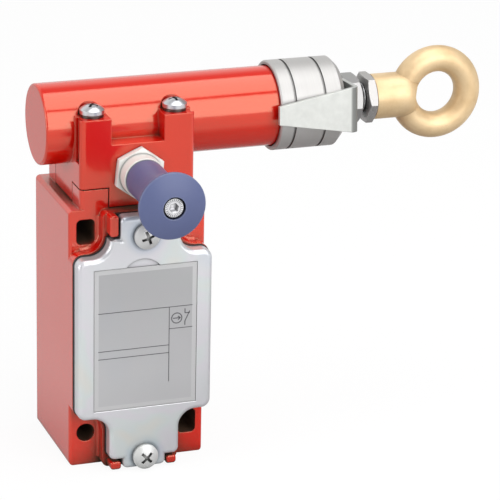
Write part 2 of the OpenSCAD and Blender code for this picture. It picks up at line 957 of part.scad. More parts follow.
module indicator_sleeve() {
  color("gray")
  translate([0, y_ax, z_ax])
    rotate([0, 90, 0])
      rotate_extrude()
        difference() {
          polygon([
            [bush_flange_r, sleeve_end - end_wall], [bush_flange_r, sleeve_end],
            [sleeve_r - sleeve_chamfer, sleeve_end], [sleeve_r, sleeve_end - sleeve_chamfer],
            [sleeve_r, sleeve_start + 0.4], [sleeve_r - 0.4, sleeve_start],
            [tube_r + gap, sleeve_start], [tube_r + gap, x_spigot + gap],
            [spigot_r, x_spigot + gap], [spigot_r, sleeve_end - end_wall]
          ]);
          for (g = [groove_1, groove_2])
            translate([sleeve_r - groove_deep, sleeve_start + g - groove_w / 2])
              square([2, groove_w]);
        }
}

module rod_bush() {
  color("darkgoldenrod")
  translate([0, y_ax, z_ax])
    rotate([0, 90, 0])
      rotate_extrude()
        polygon([
          [rod_r + run_fit, sleeve_end - end_wall - bush_neck_l],
          [bush_neck_r, sleeve_end - end_wall - bush_neck_l],
          [bush_neck_r, sleeve_end - end_wall], [bush_flange_r, sleeve_end - end_wall],
          [bush_flange_r, sleeve_end], [rod_r + run_fit, sleeve_end]
        ]);
}

module rod_wiper() {
  color("black")
  translate([0, y_ax, z_ax])
    rotate([0, 90, 0])
      rotate_extrude()
        polygon([
          [rod_r + run_fit, sleeve_end], [wiper_r, sleeve_end],
          [wiper_r - 0.4, sleeve_end + wiper_t - 0.7], [wiper_lip_r, sleeve_end + wiper_t],
          [rod_r + run_fit, sleeve_end + wiper_t]
        ]);
}

// ---------- rod train ----------

// bore of the pin that holds the cam on the rod
module cross_bore() {
  bar_y(cross_x, z_ax, y_ax + tube_d, 2 * tube_d, cross_r);
}

module rope_rod() {
  color("lightsteelblue")
  difference() {
    bar_x(cam_start, x_shank + thread_in - cam_start - 0.5, rod_r);
    cross_bore();
  }
}

module cam() {
  r_a = cam_r0 - cam_slope * cam_start;
  r_b = cam_r0 - cam_slope * cam_end;
  color("goldenrod")
  difference() {
    translate([cam_start, y_ax, z_ax])
      rotate([0, 90, 0])
        cylinder(h = cam_end - cam_start, r1 = r_a, r2 = r_b);
    bar_x(cam_start - 1, cam_end - cam_start + 2, rod_r);
    cross_bore();
  }
}

module cam_pin() {
  color("silver")
  bar_y(cross_x, z_ax, y_ax + cross_l / 2, cross_l, cross_r);
}

module spring_seat() {
  color("tan")
  difference() {
    union() {
      bar_x(seat_x, seat_t, bore_r - run_fit);
      bar_x(seat_x, seat_t + seat_hub_l, seat_hub_r);
    }
    bar_x(seat_x - 1, seat_t + seat_hub_l + 2, rod_r);
  }
}

module main_spring() {
  x0 = seat_x + seat_t + spring_slack;
  x1 = sleeve_end - end_wall - spring_slack;
  color("slategray")
  translate([x0, y_ax, z_ax])
    rotate([0, 90, 0])
      coil(x1 - x0, spring_turns, spring_r, spring_wire);
}

module stirrup_pointer() {
  bend_in = bend_r - strip_t;
  slope_end = x_bend - bend_run;
  web = bend_r + 4;
  x_tip = x_bend - arm_l;
  color("lightgray")
  translate([0, y_ax, z_ax])
    rotate([stirrup_turn, 0, 0])
      difference() {
        intersection() {
          // bent strip seen from above
          translate([0, 0, -strip_h])
            linear_extrude(2 * strip_h)
              difference() {
                union() {
                  translate([x_tip, -arm_out])
                    square([x_bend - x_tip - bend_r, 2 * arm_out]);
                  translate([x_bend - web, -arm_out + bend_r])
                    square([web, 2 * (arm_out - bend_r)]);
                  for (s = [-1, 1])
                    translate([x_bend - bend_r, s * (arm_out - bend_r)])
                      circle(bend_r);
                }
                translate([x_tip - 1, -arm_in])
                  square([x_plate - x_tip + 1 - bend_in, 2 * arm_in]);
                translate([x_plate - 4, -arm_in + bend_in])
                  square([4, 2 * (arm_in - bend_in)]);
                for (s = [-1, 1])
                  translate([x_plate - bend_in, s * (arm_in - bend_in)])
                    circle(bend_in);
              }
          // tapered arms seen from the front
          rotate([90, 0, 0])
            translate([0, 0, -30])
              linear_extrude(60)
                polygon([
                  [x_tip, -tip_h / 2], [slope_end, -strip_h / 2], [x_bend + 1, -strip_h / 2],
                  [x_bend + 1, strip_h / 2], [slope_end, strip_h / 2], [x_tip, tip_h / 2]
                ]);
        }
        translate([x_plate - 2, 0, 0])
          rotate([0, 90, 0])
            cylinder(h = 6, r = rod_r);
      }
}

module rod_nut() {
  color("silver")
  translate([x_nut_1, y_ax, z_ax])
    rotate([0, 90, 0])
      rotate(38)
        hex_nut(nut_af, nut_t, rod_d);
}

module jam_nut() {
  color("silver")
  translate([x_nut_2, y_ax, z_ax])
    rotate([0, 90, 0])
      rotate(34)
        hex_nut(nut_af, jam_t, rod_d);
}

module eye_nut() {
  shank_r = shank_d / 2;
  sec = eye_section / 2;
  // where the section of the ring turns away from the hole
  turn = 0.66 * sec;
  x_dome = x_eye - eye_r - eye_blend;
  color("goldenrod")
  difference() {
    union() {
      bar_x(x_shank, x_dome - x_shank, shank_r);
      translate([x_dome, y_ax, z_ax])
        sphere(shank_r);
      translate([x_eye, y_ax, z_ax])
        rotate([90, 0, 0])
          rotate_extrude()
            translate([eye_r, 0])
              circle(sec);
    }
    // the hole follows the round section where the shank runs into the ring
    translate([x_eye, y_ax, z_ax])
      rotate([90, 0, 0])
        rotate_extrude()
          difference() {
            polygon([
              [0, -shank_d], [eye_r, -shank_d], [eye_r - turn, -turn],
              [eye_r - turn, turn], [eye_r, shank_d], [0, shank_d]
            ]);
            translate([eye_r, 0])
              circle(sec);
          }
    bar_x(x_shank - 1, thread_in + 1, rod_r);
  }
}

// ---------- plunger and latch ----------

module plunger() {
  edge = dome_z + sqrt(dome_r * dome_r - plunger_r * plunger_r);
  color("whitesmoke")
  difference() {
    union() {
      translate([0, y_ax, plunger_bottom])
        cylinder(h = edge - plunger_bottom, r = plunger_r);
      intersection() {
        translate([0, y_ax, dome_z])
          sphere(dome_r);
        translate([0, y_ax, dome_z])
          cylinder(h = dome_r + 1, r = plunger_r);
      }
    }
    // slot that the latch pin rides in
    span([-latch_d / 2 - gap, y_ax - plunger_r - 1, z_reset - latch_d / 2 - gap],
         [latch_d / 2 + gap, y_tip + gap, z_reset + latch_d / 2 + plunger_stroke + gap]);
  }
}

module plunger_guide() {
  color("darkgoldenrod")
  translate([0, y_ax, z_floor + gap])
    difference() {
      cylinder(h = guide_l, r = guide_r);
      translate([0, 0, -1])
        cylinder(h = guide_l + 2, r = plunger_r + run_fit);
    }
}

module reset_bushing() {
  color("lightgray")
  difference() {
    union() {
      bar_y(0, z_reset, y_col + bushing_in, bushing_in + 1, bushing_r);
      translate([0, y_col, z_reset])
        rotate([90, 0, 0])
          rotate(24)
            hex_nut(bushing_af, bushing_h, 1);
      translate([0, y_col, z_reset])
        rotate([90, 0, 0])
          puck(collar_d / 2, bushing_h + collar_l, 0.4);
    }
    bar_y(0, z_reset, y_col + bushing_in + 1, y_col + bushing_in + 1 - y_chamber, chamber_r);
    bar_y(0, z_reset, y_chamber + 1, collar_wall + 2, pin_r + run_fit);
  }
}

module latch_pin() {
  color("silver")
  difference() {
    union() {
      bar_y(0, z_reset, y_tip, y_tip - shoulder_y, latch_d / 2);
      bar_y(0, z_reset, shoulder_y, shoulder_t, chamber_r - 0.3);
      bar_y(0, z_reset, shoulder_y, shoulder_y - y_knob + pin_in, pin_r);
    }
    bar_y(0, z_reset, y_knob - bore_in, pin_in, knob_bore / 2);
  }
}

module latch_spring() {
  y0 = shoulder_y - shoulder_t - 0.05;
  y1 = y_chamber + 0.05;
  color("slategray")
  translate([0, y0, z_reset])
    rotate([90, 0, 0])
      coil(y0 - y1, latch_turns, latch_coil_r, latch_wire, 12);
}

module reset_knob() {
  color("slateblue")
  translate([0, y_knob, z_reset])
    rotate([90, 0, 0])
      rotate_extrude()
        knob_section();
}

// half section of the knob: neck, concave waist, disc and dome
module knob_section() {
  neck = knob_neck / 2;
  disc = knob_d / 2;
  edge_l = knob_l - knob_dome - knob_rim;
  grow = disc - 0.3 - neck;
  waist = (grow * grow + (edge_l - neck_l) * (edge_l - neck_l)) / (2 * grow);
  ball = (disc * disc + knob_dome * knob_dome) / (2 * knob_dome);
  difference() {
    union() {
      square([neck, neck_l + 1]);
      difference() {
        translate([0, neck_l])
          square([disc - 0.3, edge_l - neck_l]);
        translate([neck + waist, neck_l])
          circle(waist, $fn = 360);
      }
      translate([0, edge_l])
        square([disc, knob_rim]);
      intersection() {
        translate([0, knob_l - ball])
          circle(ball, $fn = 360);
        translate([0, edge_l])
          square([disc, 2 * knob_dome + knob_rim]);
      }
    }
    translate([-1, knob_l - recess_t])
      square([recess_r + 1, recess_t + 1]);
    translate([-1, -1])
      square([pin_r + 1, pin_in + 2]);
    translate([-1, -1])
      square([knob_bore / 2 + 1, knob_l + 2]);
  }
}

module knob_screw() {
  color("silver")
  translate([0, y_knob, z_reset])
    rotate([90, 0, 0])
      difference() {
        union() {
          translate([0, 0, knob_l - recess_t])
            cylinder(h = knob_head_t, r = knob_head_r);
          translate([0, 0, bore_in + 2])
            cylinder(h = knob_l - recess_t - bore_in - 1.9, d = knob_bore);
        }
        translate([0, 0, knob_l - recess_t + 1])
          rotate(12)
            cylinder(h = 5, r = socket_af / sqrt(3), $fn = 6);
      }
}

// ---------- contact block ----------

module contact_block() {
  color("darkslategray")
  difference() {
    span([-blk_half, blk_front, blk_bottom], [blk_half, blk_back, blk_top]);
    // channel of the carrier
    span([-chan_half, blk_front - 1, spring_floor], [chan_half, y_ax + carrier_half + gap, blk_top + 1]);
    // windows of the bridges
    span([-window_half, blk_front - 1, bridge_nc - plunger_stroke - 1.2],
         [window_half, window_back, nc_tip + tip_t + strip_c]);
    span([-window_half, blk_front - 1, no_tip - tip_t - strip_c],
         [window_half, window_back, bridge_no + 2]);
    // screws
    for (s = [-1, 1])
      bar_y(s * blk_screw_x, blk_screw_z, 0, 40, blk_screw_d / 2 + 0.2);
    for (s = [-1, 1])
      for (z = [term_nc, term_no])
        bar_y(s * term_x, z, blk_front + term_screw_l, 12, term_screw_d / 2);
  }
}

module contact_carrier() {
  color("ivory")
  difference() {
    union() {
      span([-chan_half + gap, y_ax - carrier_half, carrier_bottom],
           [chan_half - gap, y_ax + carrier_half, blk_top + 1]);
      translate([0, y_ax, blk_top])
        cylinder(h = plunger_bottom - blk_top, r = carrier_half);
    }
    for (z = [bridge_nc, bridge_no])
      span([-window_half, y_ax - bridge_half, z], [window_half, y_ax + bridge_half, z + strip_c]);
  }
}

module contact_bridges() {
  color("peru") {
    for (s = [-1, 1]) {
      translate([s * contact_x, y_ax, bridge_nc + strip_c])
        cylinder(h = tip_t, r = contact_r);
      translate([s * contact_x, y_ax, bridge_no - tip_t])
        cylinder(h = tip_t, r = contact_r);
    }
    for (z = [bridge_nc, bridge_no])
      span([-bridge_end, y_ax - bridge_half, z], [bridge_end, y_ax + bridge_half, z + strip_c]);
  }
}

module fixed_contacts() {
  color("peru")
  for (s = [-1, 1]) {
    fixed_one(s, nc_tip, 1, term_nc);
    fixed_one(s, no_tip, -1, term_no);
  }
}

// one fixed contact: tip, strip to the front and the plate under its screw
module fixed_one(s, z_tip, up, z_term) {
  z_strip = up > 0 ? z_tip + tip_t : z_tip - tip_t - strip_c;
  translate([s * contact_x, y_ax, up > 0 ? z_tip : z_tip - tip_t])
    cylinder(h = tip_t, r = contact_r);
  difference() {
    union() {
      span([s > 0 ? strip_in : -strip_out, blk_front - strip_c, z_strip],
           [s > 0 ? strip_out : -strip_in, y_ax + bridge_half, z_strip + strip_c]);
      span([s > 0 ? strip_in : -plate_out, blk_front - strip_c, min(z_strip, z_term - plate_half_h)],
           [s > 0 ? plate_out : -strip_in, blk_front, max(z_strip + strip_c, z_term + plate_half_h)]);
    }
    bar_y(s * term_x, z_term, blk_front + 5, 12, term_screw_d / 2);
  }
}

module terminal_screws() {
  color("silver")
  for (s = [-1, 1])
    for (z = [term_nc, term_no])
      translate([s * term_x, blk_front - strip_c, z])
        rotate([90, 0, 0])
          rotate(s * 25 + z)
            pan_screw(term_screw_d, term_screw_l, term_pan_d, term_pan_h);
}

module contact_spring() {
  color("slategray")
  translate([0, y_ax, spring_floor + 0.05])
    coil(carrier_bottom - spring_floor - 0.1, return_turns, return_coil_r, return_wire, 12);
}

module block_screws() {
  color("silver")
  for (s = [-1, 1])
    translate([s * blk_screw_x, blk_front, blk_screw_z])
      rotate([90, 0, 0])
        rotate(s * 30)
          pan_screw(blk_screw_d, -blk_front - blind_wall - 0.2, blk_pan_d, blk_pan_h);
}

module earth_screw() {
  color("goldenrod")
  translate([0, y_back - earth_boss_h, -neck_bottom + earth_rise])
    rotate([90, 0, 0])
      pan_screw(blk_screw_d, wall + earth_boss_h - blind_wall - 0.2, earth_pan_d, term_pan_h);
}

// ---------- what is drawn ----------

housing();
cover();
cover_gasket();
cover_screws();
label_plate();
head_casting();
head_seal();
head_screws();
spring_washers();
indicator_sleeve();
rod_bush();
rod_wiper();
rope_rod();
cam();
cam_pin();
spring_seat();
main_spring();
stirrup_pointer();
rod_nut();
jam_nut();
eye_nut();
plunger();
plunger_guide();
reset_bushing();
latch_pin();
latch_spring();
reset_knob();
knob_screw();
contact_block();
contact_carrier();
contact_bridges();
fixed_contacts();
terminal_screws();
contact_spring();
block_screws();
earth_screw();
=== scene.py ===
"""Looks, light and small fitted pieces of the rope pull switch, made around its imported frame."""

import json
import math

import bmesh
import bpy
from mathutils import Matrix, Vector


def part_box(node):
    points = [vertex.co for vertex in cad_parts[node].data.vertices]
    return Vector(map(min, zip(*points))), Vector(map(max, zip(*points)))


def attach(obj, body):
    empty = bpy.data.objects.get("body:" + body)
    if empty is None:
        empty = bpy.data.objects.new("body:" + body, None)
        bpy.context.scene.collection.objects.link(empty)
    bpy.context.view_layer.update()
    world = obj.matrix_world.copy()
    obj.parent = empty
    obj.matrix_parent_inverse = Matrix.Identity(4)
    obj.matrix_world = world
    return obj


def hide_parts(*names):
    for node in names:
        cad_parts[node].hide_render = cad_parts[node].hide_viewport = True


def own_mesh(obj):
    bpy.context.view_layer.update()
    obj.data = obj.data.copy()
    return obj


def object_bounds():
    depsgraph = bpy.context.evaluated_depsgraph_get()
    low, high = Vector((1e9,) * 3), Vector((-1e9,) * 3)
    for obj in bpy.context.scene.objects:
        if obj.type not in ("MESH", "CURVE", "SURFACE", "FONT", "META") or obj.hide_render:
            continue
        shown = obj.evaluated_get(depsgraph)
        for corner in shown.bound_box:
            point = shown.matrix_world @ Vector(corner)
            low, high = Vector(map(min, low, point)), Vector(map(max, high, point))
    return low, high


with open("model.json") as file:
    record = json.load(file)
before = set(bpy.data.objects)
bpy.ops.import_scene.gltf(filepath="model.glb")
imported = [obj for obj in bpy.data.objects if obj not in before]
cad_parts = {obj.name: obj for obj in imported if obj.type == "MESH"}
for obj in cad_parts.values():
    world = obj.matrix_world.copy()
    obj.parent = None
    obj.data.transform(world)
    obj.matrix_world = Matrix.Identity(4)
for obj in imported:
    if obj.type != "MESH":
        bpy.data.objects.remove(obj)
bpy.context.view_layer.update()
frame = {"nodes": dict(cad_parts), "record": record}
nodes = frame["nodes"]
MM = 0.001

# ---------- sizes of the fitted pieces, in metres ----------

THREAD_PITCH = 1.25 * MM        # coarse M8 thread of the rope rod
THREAD_DEPTH = 0.45 * MM
ENTRY_PITCH = 1.5 * MM          # M20 x 1.5 thread of the cable entry
ENTRY_DEPTH = 0.55 * MM
THREAD_OVERLAP = 0.3 * MM       # how far the thread runs into each nut
RULE_WIDTH = 0.17 * MM          # printed lines of the label, and of its sign
SIGN_WIDTH = 0.24 * MM
RULE_HEIGHT = 0.03 * MM
LABEL_MARGIN = 1.3 * MM
SERRATIONS = 26                 # ridges of the knob's screw
SERRATION_SIZE = (0.7 * MM, 0.26 * MM, 0.3 * MM)

# ---------- extent of the shading effects, in metres but for the step ----------

HOLE_REACH = 14 * MM            # how far a hole looks for its own walls
HOLE_STEP = 0.22                # loss of openness, of 1, over which the paint turns into the painted shade of a hole
BEND_SHADE_START = 2.8 * MM           # where the painted shade on the stirrup's bends begins and is full, from its end
BEND_SHADE_FULL = 2.0 * MM

# ---------- shades ----------

# painted shade: the near-black colour that deep holes in the paint take
HOLE_PAINTED_SHADE = (0.02, 0.004, 0.002)
# painted highlight: the pale colour that plated edges turn towards
PLATE_EDGE_HIGHLIGHT = (0.9, 0.9, 0.9)
STAIN_TINT = (0.62, 0.72, 0.84)
# painted highlight: the lighter colour along the knob's edges
KNOB_EDGE_HIGHLIGHT = (0.26, 0.29, 0.42)
PAPER_WHITE = (0.93, 0.93, 0.93)
PAPER_BOUNCE = (0.45, 0.45, 0.45)
# painted shadow: the grey that gloss sees on the floor near the object
PAPER_PAINTED_SHADOW = (0.32, 0.32, 0.32)

# ---------- places of the light ----------

BACKWARDS = (-0.5, 1.0, 0.0)    # the way along which gloss sees more or less white
SHADOW_PATCH_PLACE = (0.09, -0.03)       # middle of the painted shadow patch that gloss sees on the floor, under the rope eye
SHADOW_PATCH_EDGE = 0.15                 # its outer and inner radius
SHADOW_PATCH_FULL = 0.07
LIT_POINT = (0.04, -0.02, 0.02)


# ---------- shader node groups ----------

def shader_group(name, inputs, outputs):
    """An empty shader group with named sockets, and its input and output nodes."""
    group = bpy.data.node_groups.new(name, "ShaderNodeTree")
    for label, kind, value in inputs:
        socket = group.interface.new_socket(label, in_out="INPUT", socket_type=kind)
        socket.default_value = value
    for label, kind in outputs:
        group.interface.new_socket(label, in_out="OUTPUT", socket_type=kind)
    source = group.nodes.new("NodeGroupInput")
    sink = group.nodes.new("NodeGroupOutput")
    return group, source, sink


def add(tree, kind, **settings):
    """A new node, with its properties and its unlinked inputs set by name."""
    node = tree.nodes.new(kind)
    for key, value in settings.items():
        if key in node.bl_rna.properties:
            setattr(node, key, value)
        else:
            node.inputs[key.replace("_", " ")].default_value = value
    return node


def maths(tree, operation, first, second, clamp=False):
    """A Math node on two sockets or numbers."""
    node = tree.nodes.new("ShaderNodeMath")
    node.operation = operation
    node.use_clamp = clamp
    for slot, value in zip(node.inputs, (first, second)):
        if isinstance(value, (int, float)):
            slot.default_value = value
        else:
            tree.links.new(value, slot)
    return node.outputs[0]


def middle(low, high):
    """The place halfway between two."""
    return (low + high) / 2


def blend_colours(tree, factor, first, second, mode="MIX"):
    """A colour Mix node; first and second are sockets or colours."""
    node = tree.nodes.new("ShaderNodeMix")
    node.data_type = "RGBA"
    node.blend_type = mode
    if isinstance(factor, (int, float)):
        node.inputs["Factor"].default_value = factor
    else:
        tree.links.new(factor, node.inputs["Factor"])
    for slot, value in ((node.inputs[6], first), (node.inputs[7], second)):
        if isinstance(value, tuple):
            slot.default_value = (*value[:3], 1)
        else:
            tree.links.new(value, slot)
    return node.outputs[2]


def make_skin_group():
    """Slow patches of a second colour and a fine grain, for paint, castings and mouldings."""
    group, source, sink = shader_group(
        "skin",
        [
            ("Colour", "NodeSocketColor", (0.5, 0.5, 0.5, 1)),
            ("Second colour", "NodeSocketColor", (0.4, 0.4, 0.4, 1)),
            ("Patch scale", "NodeSocketFloat", 60.0),
            ("Patch strength", "NodeSocketFloat", 0.3),
            ("Grain scale", "NodeSocketFloat", 2500.0),
            ("Roughness", "NodeSocketFloat", 0.4),
            ("Roughness spread", "NodeSocketFloat", 0.1),
        ],
        [
            ("Colour", "NodeSocketColor"),
            ("Roughness", "NodeSocketFloat"),
            ("Height", "NodeSocketFloat"),
        ],
    )
    place = add(group, "ShaderNodeTexCoord")
    patches = add(group, "ShaderNodeTexNoise", Detail=3.0, Roughness=0.55)
    grain = add(group, "ShaderNodeTexNoise", Detail=4.0, Roughness=0.6)
    for noise, scale in ((patches, "Patch scale"), (grain, "Grain scale")):
        group.links.new(place.outputs["Object"], noise.inputs["Vector"])
        group.links.new(source.outputs[scale], noise.inputs["Scale"])
    spread = maths(group, "SUBTRACT", patches.outputs["Fac"], 0.35)
    share = maths(group, "MULTIPLY", spread, source.outputs["Patch strength"])
    share = maths(group, "MULTIPLY", share, 3.3, clamp=True)
    colour = blend_colours(group, share, source.outputs["Colour"],
                           source.outputs["Second colour"])
    swing = maths(group, "SUBTRACT", patches.outputs["Fac"], 0.5)
    swing = maths(group, "MULTIPLY", swing, source.outputs["Roughness spread"])
    rough = maths(group, "ADD", source.outputs["Roughness"], swing, clamp=True)
    group.links.new(colour, sink.inputs["Colour"])
    group.links.new(rough, sink.inputs["Roughness"])
    group.links.new(grain.outputs["Fac"], sink.inputs["Height"])
    return group


def make_brush_group():
    """Fine parallel lines: noise stretched by a different scale on each axis."""
    group, source, sink = shader_group(
        "brushed lines",
        [
            ("Stretch", "NodeSocketVector", (200.0, 200.0, 4000.0)),
            ("Roughness", "NodeSocketFloat", 0.3),
            ("Roughness spread", "NodeSocketFloat", 0.15),
        ],
        [
            ("Height", "NodeSocketFloat"),
            ("Roughness", "NodeSocketFloat"),
            ("Lines", "NodeSocketFloat"),
        ],
    )
    place = add(group, "ShaderNodeTexCoord")
    pull = add(group, "ShaderNodeVectorMath", operation="MULTIPLY")
    group.links.new(place.outputs["Object"], pull.inputs[0])
    group.links.new(source.outputs["Stretch"], pull.inputs[1])
    noise = add(group, "ShaderNodeTexNoise", Scale=1.0, Detail=3.0, Roughness=0.6)
    group.links.new(pull.outputs["Vector"], noise.inputs["Vector"])
    swing = maths(group, "SUBTRACT", noise.outputs["Fac"], 0.5)
    swing = maths(group, "MULTIPLY", swing, source.outputs["Roughness spread"])
    rough = maths(group, "ADD", source.outputs["Roughness"], swing, clamp=True)
    group.links.new(noise.outputs["Fac"], sink.inputs["Height"])
    group.links.new(rough, sink.inputs["Roughness"])
    group.links.new(noise.outputs["Fac"], sink.inputs["Lines"])
    return group


def make_edge_group():
    """Rounds sharp edges in the shading and gives a mask that is 1 along them."""
    group, source, sink = shader_group(
        "soft edges",
        [("Radius", "NodeSocketFloat", 0.0003)],
        [("Normal", "NodeSocketVector"), ("Edge", "NodeSocketFloat")],
    )
    bevel = add(group, "ShaderNodeBevel", samples=6)
    group.links.new(source.outputs["Radius"], bevel.inputs["Radius"])
    surface = add(group, "ShaderNodeNewGeometry")
    dot = add(group, "ShaderNodeVectorMath", operation="DOT_PRODUCT")
    group.links.new(bevel.outputs["Normal"], dot.inputs[0])
    group.links.new(surface.outputs["Normal"], dot.inputs[1])
    turned = maths(group, "SUBTRACT", 1.0, dot.outputs["Value"])
    edge = maths(group, "MULTIPLY", turned, 6.0, clamp=True)
    group.links.new(bevel.outputs["Normal"], sink.inputs["Normal"])
    group.links.new(edge, sink.inputs["Edge"])
    return group


def make_bloom_group():
    """Faint blue, violet and straw tints of a zinc coat."""
    group, source, sink = shader_group(
        "zinc bloom",
        [
            ("Colour", "NodeSocketColor", (0.8, 0.8, 0.8, 1)),
            ("Strength", "NodeSocketFloat", 0.2),
            ("Scale", "NodeSocketFloat", 45.0),
        ],
        [("Colour", "NodeSocketColor")],
    )
    place = add(group, "ShaderNodeTexCoord")
    noise = add(group, "ShaderNodeTexNoise", Detail=2.0, Roughness=0.5, Distortion=0.6)
    group.links.new(place.outputs["Object"], noise.inputs["Vector"])
    group.links.new(source.outputs["Scale"], noise.inputs["Scale"])
    tints = add(group, "ShaderNodeValToRGB")
    stops = ((0.30, (0.80, 0.87, 1.0)), (0.44, (0.95, 0.95, 0.97)), (0.54, (1.0, 0.93, 1.0)),
             (0.62, (0.90, 1.0, 0.95)), (0.72, (1.0, 0.97, 0.84)))
    tints.color_ramp.elements[0].position = stops[0][0]
    tints.color_ramp.elements[0].color = (*stops[0][1], 1)
    tints.color_ramp.elements[1].position = stops[-1][0]
    tints.color_ramp.elements[1].color = (*stops[-1][1], 1)
    for position, colour in stops[1:-1]:
        tints.color_ramp.elements.new(position).color = (*colour, 1)
    group.links.new(noise.outputs["Fac"], tints.inputs["Fac"])
    tinted = blend_colours(group, 1.0, source.outputs["Colour"], tints.outputs["Color"],
                           "MULTIPLY")
    mixed = blend_colours(group, source.outputs["Strength"], source.outputs["Colour"], tinted)
    group.links.new(mixed, sink.inputs["Colour"])
    return group


def make_cavity_group():
    """A painted shade that is 1 in the open and falls in corners and slots, and a mask of deep
    holes, which get painted shade.
    """
    group, source, sink = shader_group(
        "cavity shade",
        [
            ("Reach", "NodeSocketFloat", 0.004),
            ("Depth", "NodeSocketFloat", 0.8),
            ("Hole from", "NodeSocketFloat", 0.52),
        ],
        [("Shade", "NodeSocketFloat"), ("Hole", "NodeSocketFloat")],
    )
    hollow = add(group, "ShaderNodeAmbientOcclusion", samples=8)
    group.links.new(source.outputs["Reach"], hollow.inputs["Distance"])
    covered = maths(group, "SUBTRACT", 1.0, hollow.outputs["AO"])
    loss = maths(group, "MULTIPLY", covered, source.outputs["Depth"])
    shade = maths(group, "SUBTRACT", 1.0, loss, clamp=True)
    shade = maths(group, "POWER", shade, 1.6)
    group.links.new(shade, sink.inputs["Shade"])
    deep = add(group, "ShaderNodeAmbientOcclusion", samples=8)
    deep.inputs["Distance"].default_value = HOLE_REACH
    hole = add(group, "ShaderNodeMapRange", interpolation_type="SMOOTHSTEP")
    group.links.new(source.outputs["Hole from"], hole.inputs["From Min"])
    hole_to = maths(group, "SUBTRACT", source.outputs["Hole from"], HOLE_STEP)
    group.links.new(hole_to, hole.inputs["From Max"])
    group.links.new(deep.outputs["AO"], hole.inputs["Value"])
    group.links.new(hole.outputs["Result"], sink.inputs["Hole"])
    return group


SKIN = make_skin_group()
CAVITY = make_cavity_group()
BRUSH = make_brush_group()
EDGES = make_edge_group()
BLOOM = make_bloom_group()


# ---------- materials ----------

def new_material(name, **shader_values):
    """A material with a Principled BSDF whose constants sit on its own sockets."""
    material = bpy.data.materials.new(name)
    material.use_nodes = True
    tree = material.node_tree
    shader = tree.nodes["Principled BSDF"]
    for label, value in shader_values.items():
        shader.inputs[label.replace("_", " ")].default_value = value
    return material, tree, shader


def use_group(tree, group, **values):
    """Places a shader group in a material with its own input values."""
    node = tree.nodes.new("ShaderNodeGroup")
    node.node_tree = group
    for label, value in values.items():
        socket = node.inputs[label.replace("_", " ")]
        socket.default_value = (*value, 1) if socket.type == "RGBA" else value
    return node


def raise_height(tree, shader, height, distance, strength, radius):
    """Bumps the surface by a height, over edges softened by the radius."""
    edges = use_group(tree, EDGES, Radius=radius)
    bump = add(tree, "ShaderNodeBump", Strength=strength, Distance=distance)
    tree.links.new(height, bump.inputs["Height"])
    tree.links.new(edges.outputs["Normal"], bump.inputs["Normal"])
    tree.links.new(bump.outputs["Normal"], shader.inputs["Normal"])
    return edges


def shaded(tree, colour, reach, depth):
    """The colour, darker in hollows with painted shade."""
    cavity = use_group(tree, CAVITY, Reach=reach, Depth=depth)
    return blend_colours(tree, 1.0, colour, cavity.outputs["Shade"], "MULTIPLY")


def gloss_paint(name, colour, deep, coat, depth, hole_from):
    """Gloss paint on a casting: slight orange peel, a painted highlight on edges, painted shade in
    corners, and matt with painted near-black shade deep in holes.

    The coat is the weight of the clear layer, depth the loss of brightness to painted shade in
    corners, and hole_from the openness, of 1, below which the surface turns into the painted shade
    of a hole.
    """
    material, tree, shader = new_material(name, Coat_Roughness=0.04, IOR=1.6,
                                          Specular_IOR_Level=1.0,
                                          Specular_Tint=(1.0, 0.74, 0.50, 1))
    skin = use_group(tree, SKIN, Colour=colour, Second_colour=deep, Patch_scale=35.0,
                     Patch_strength=0.25, Grain_scale=700.0, Roughness=0.13, Roughness_spread=0.1)
    edges = raise_height(tree, shader, skin.outputs["Height"],
                         distance=0.12 * MM, strength=0.12, radius=0.45 * MM)
    # painted highlight: the paint turns lighter along its edges
    paint_edge_highlight = maths(tree, "MULTIPLY", edges.outputs["Edge"], 0.3)
    lighter = tuple(min(1.0, channel * 1.1 + 0.015) for channel in colour)
    mixed = blend_colours(tree, paint_edge_highlight, skin.outputs["Colour"], lighter)
    # painted shade: deeper and darker red in corners, near-black deep in holes
    hollow = use_group(tree, CAVITY, Reach=3.5 * MM, Depth=depth, Hole_from=hole_from)
    corner_shade_colour = tuple(channel * 0.3 for channel in deep)
    mixed = blend_colours(tree, hollow.outputs["Shade"], corner_shade_colour, mixed)
    mixed = blend_colours(tree, hollow.outputs["Hole"], mixed, HOLE_PAINTED_SHADE)
    rough = maths(tree, "MAXIMUM", hollow.outputs["Hole"], skin.outputs["Roughness"])
    open_to_light = maths(tree, "SUBTRACT", 1.0, hollow.outputs["Hole"])
    coated = maths(tree, "MULTIPLY", open_to_light, coat)
    tree.links.new(mixed, shader.inputs["Base Color"])
    tree.links.new(rough, shader.inputs["Roughness"])
    tree.links.new(coated, shader.inputs["Coat Weight"])
    return material


def zinc_plate(name, colour, rough, bloom, radius=0.0003, metallic=0.85):
    """Zinc plated sheet or screw: bright metal with faint tints and a fine grain."""
    material, tree, shader = new_material(name, Metallic=metallic)
    tint = use_group(tree, BLOOM, Colour=colour, Strength=bloom, Scale=55.0)
    skin = use_group(tree, SKIN, Patch_scale=90.0, Grain_scale=3500.0, Roughness=rough,
                     Roughness_spread=0.2)
    edges = raise_height(tree, shader, skin.outputs["Height"],
                         distance=0.04 * MM, strength=0.15, radius=radius)
    # painted highlight: the plating turns paler along its edges
    bright = maths(tree, "MULTIPLY", edges.outputs["Edge"], 0.5)
    mixed = blend_colours(tree, bright, tint.outputs["Colour"], PLATE_EDGE_HIGHLIGHT)
    # painted shade in hollows
    mixed = shaded(tree, mixed, reach=1.2 * MM, depth=0.9)
    tree.links.new(mixed, shader.inputs["Base Color"])
    tree.links.new(skin.outputs["Roughness"], shader.inputs["Roughness"])
    return material


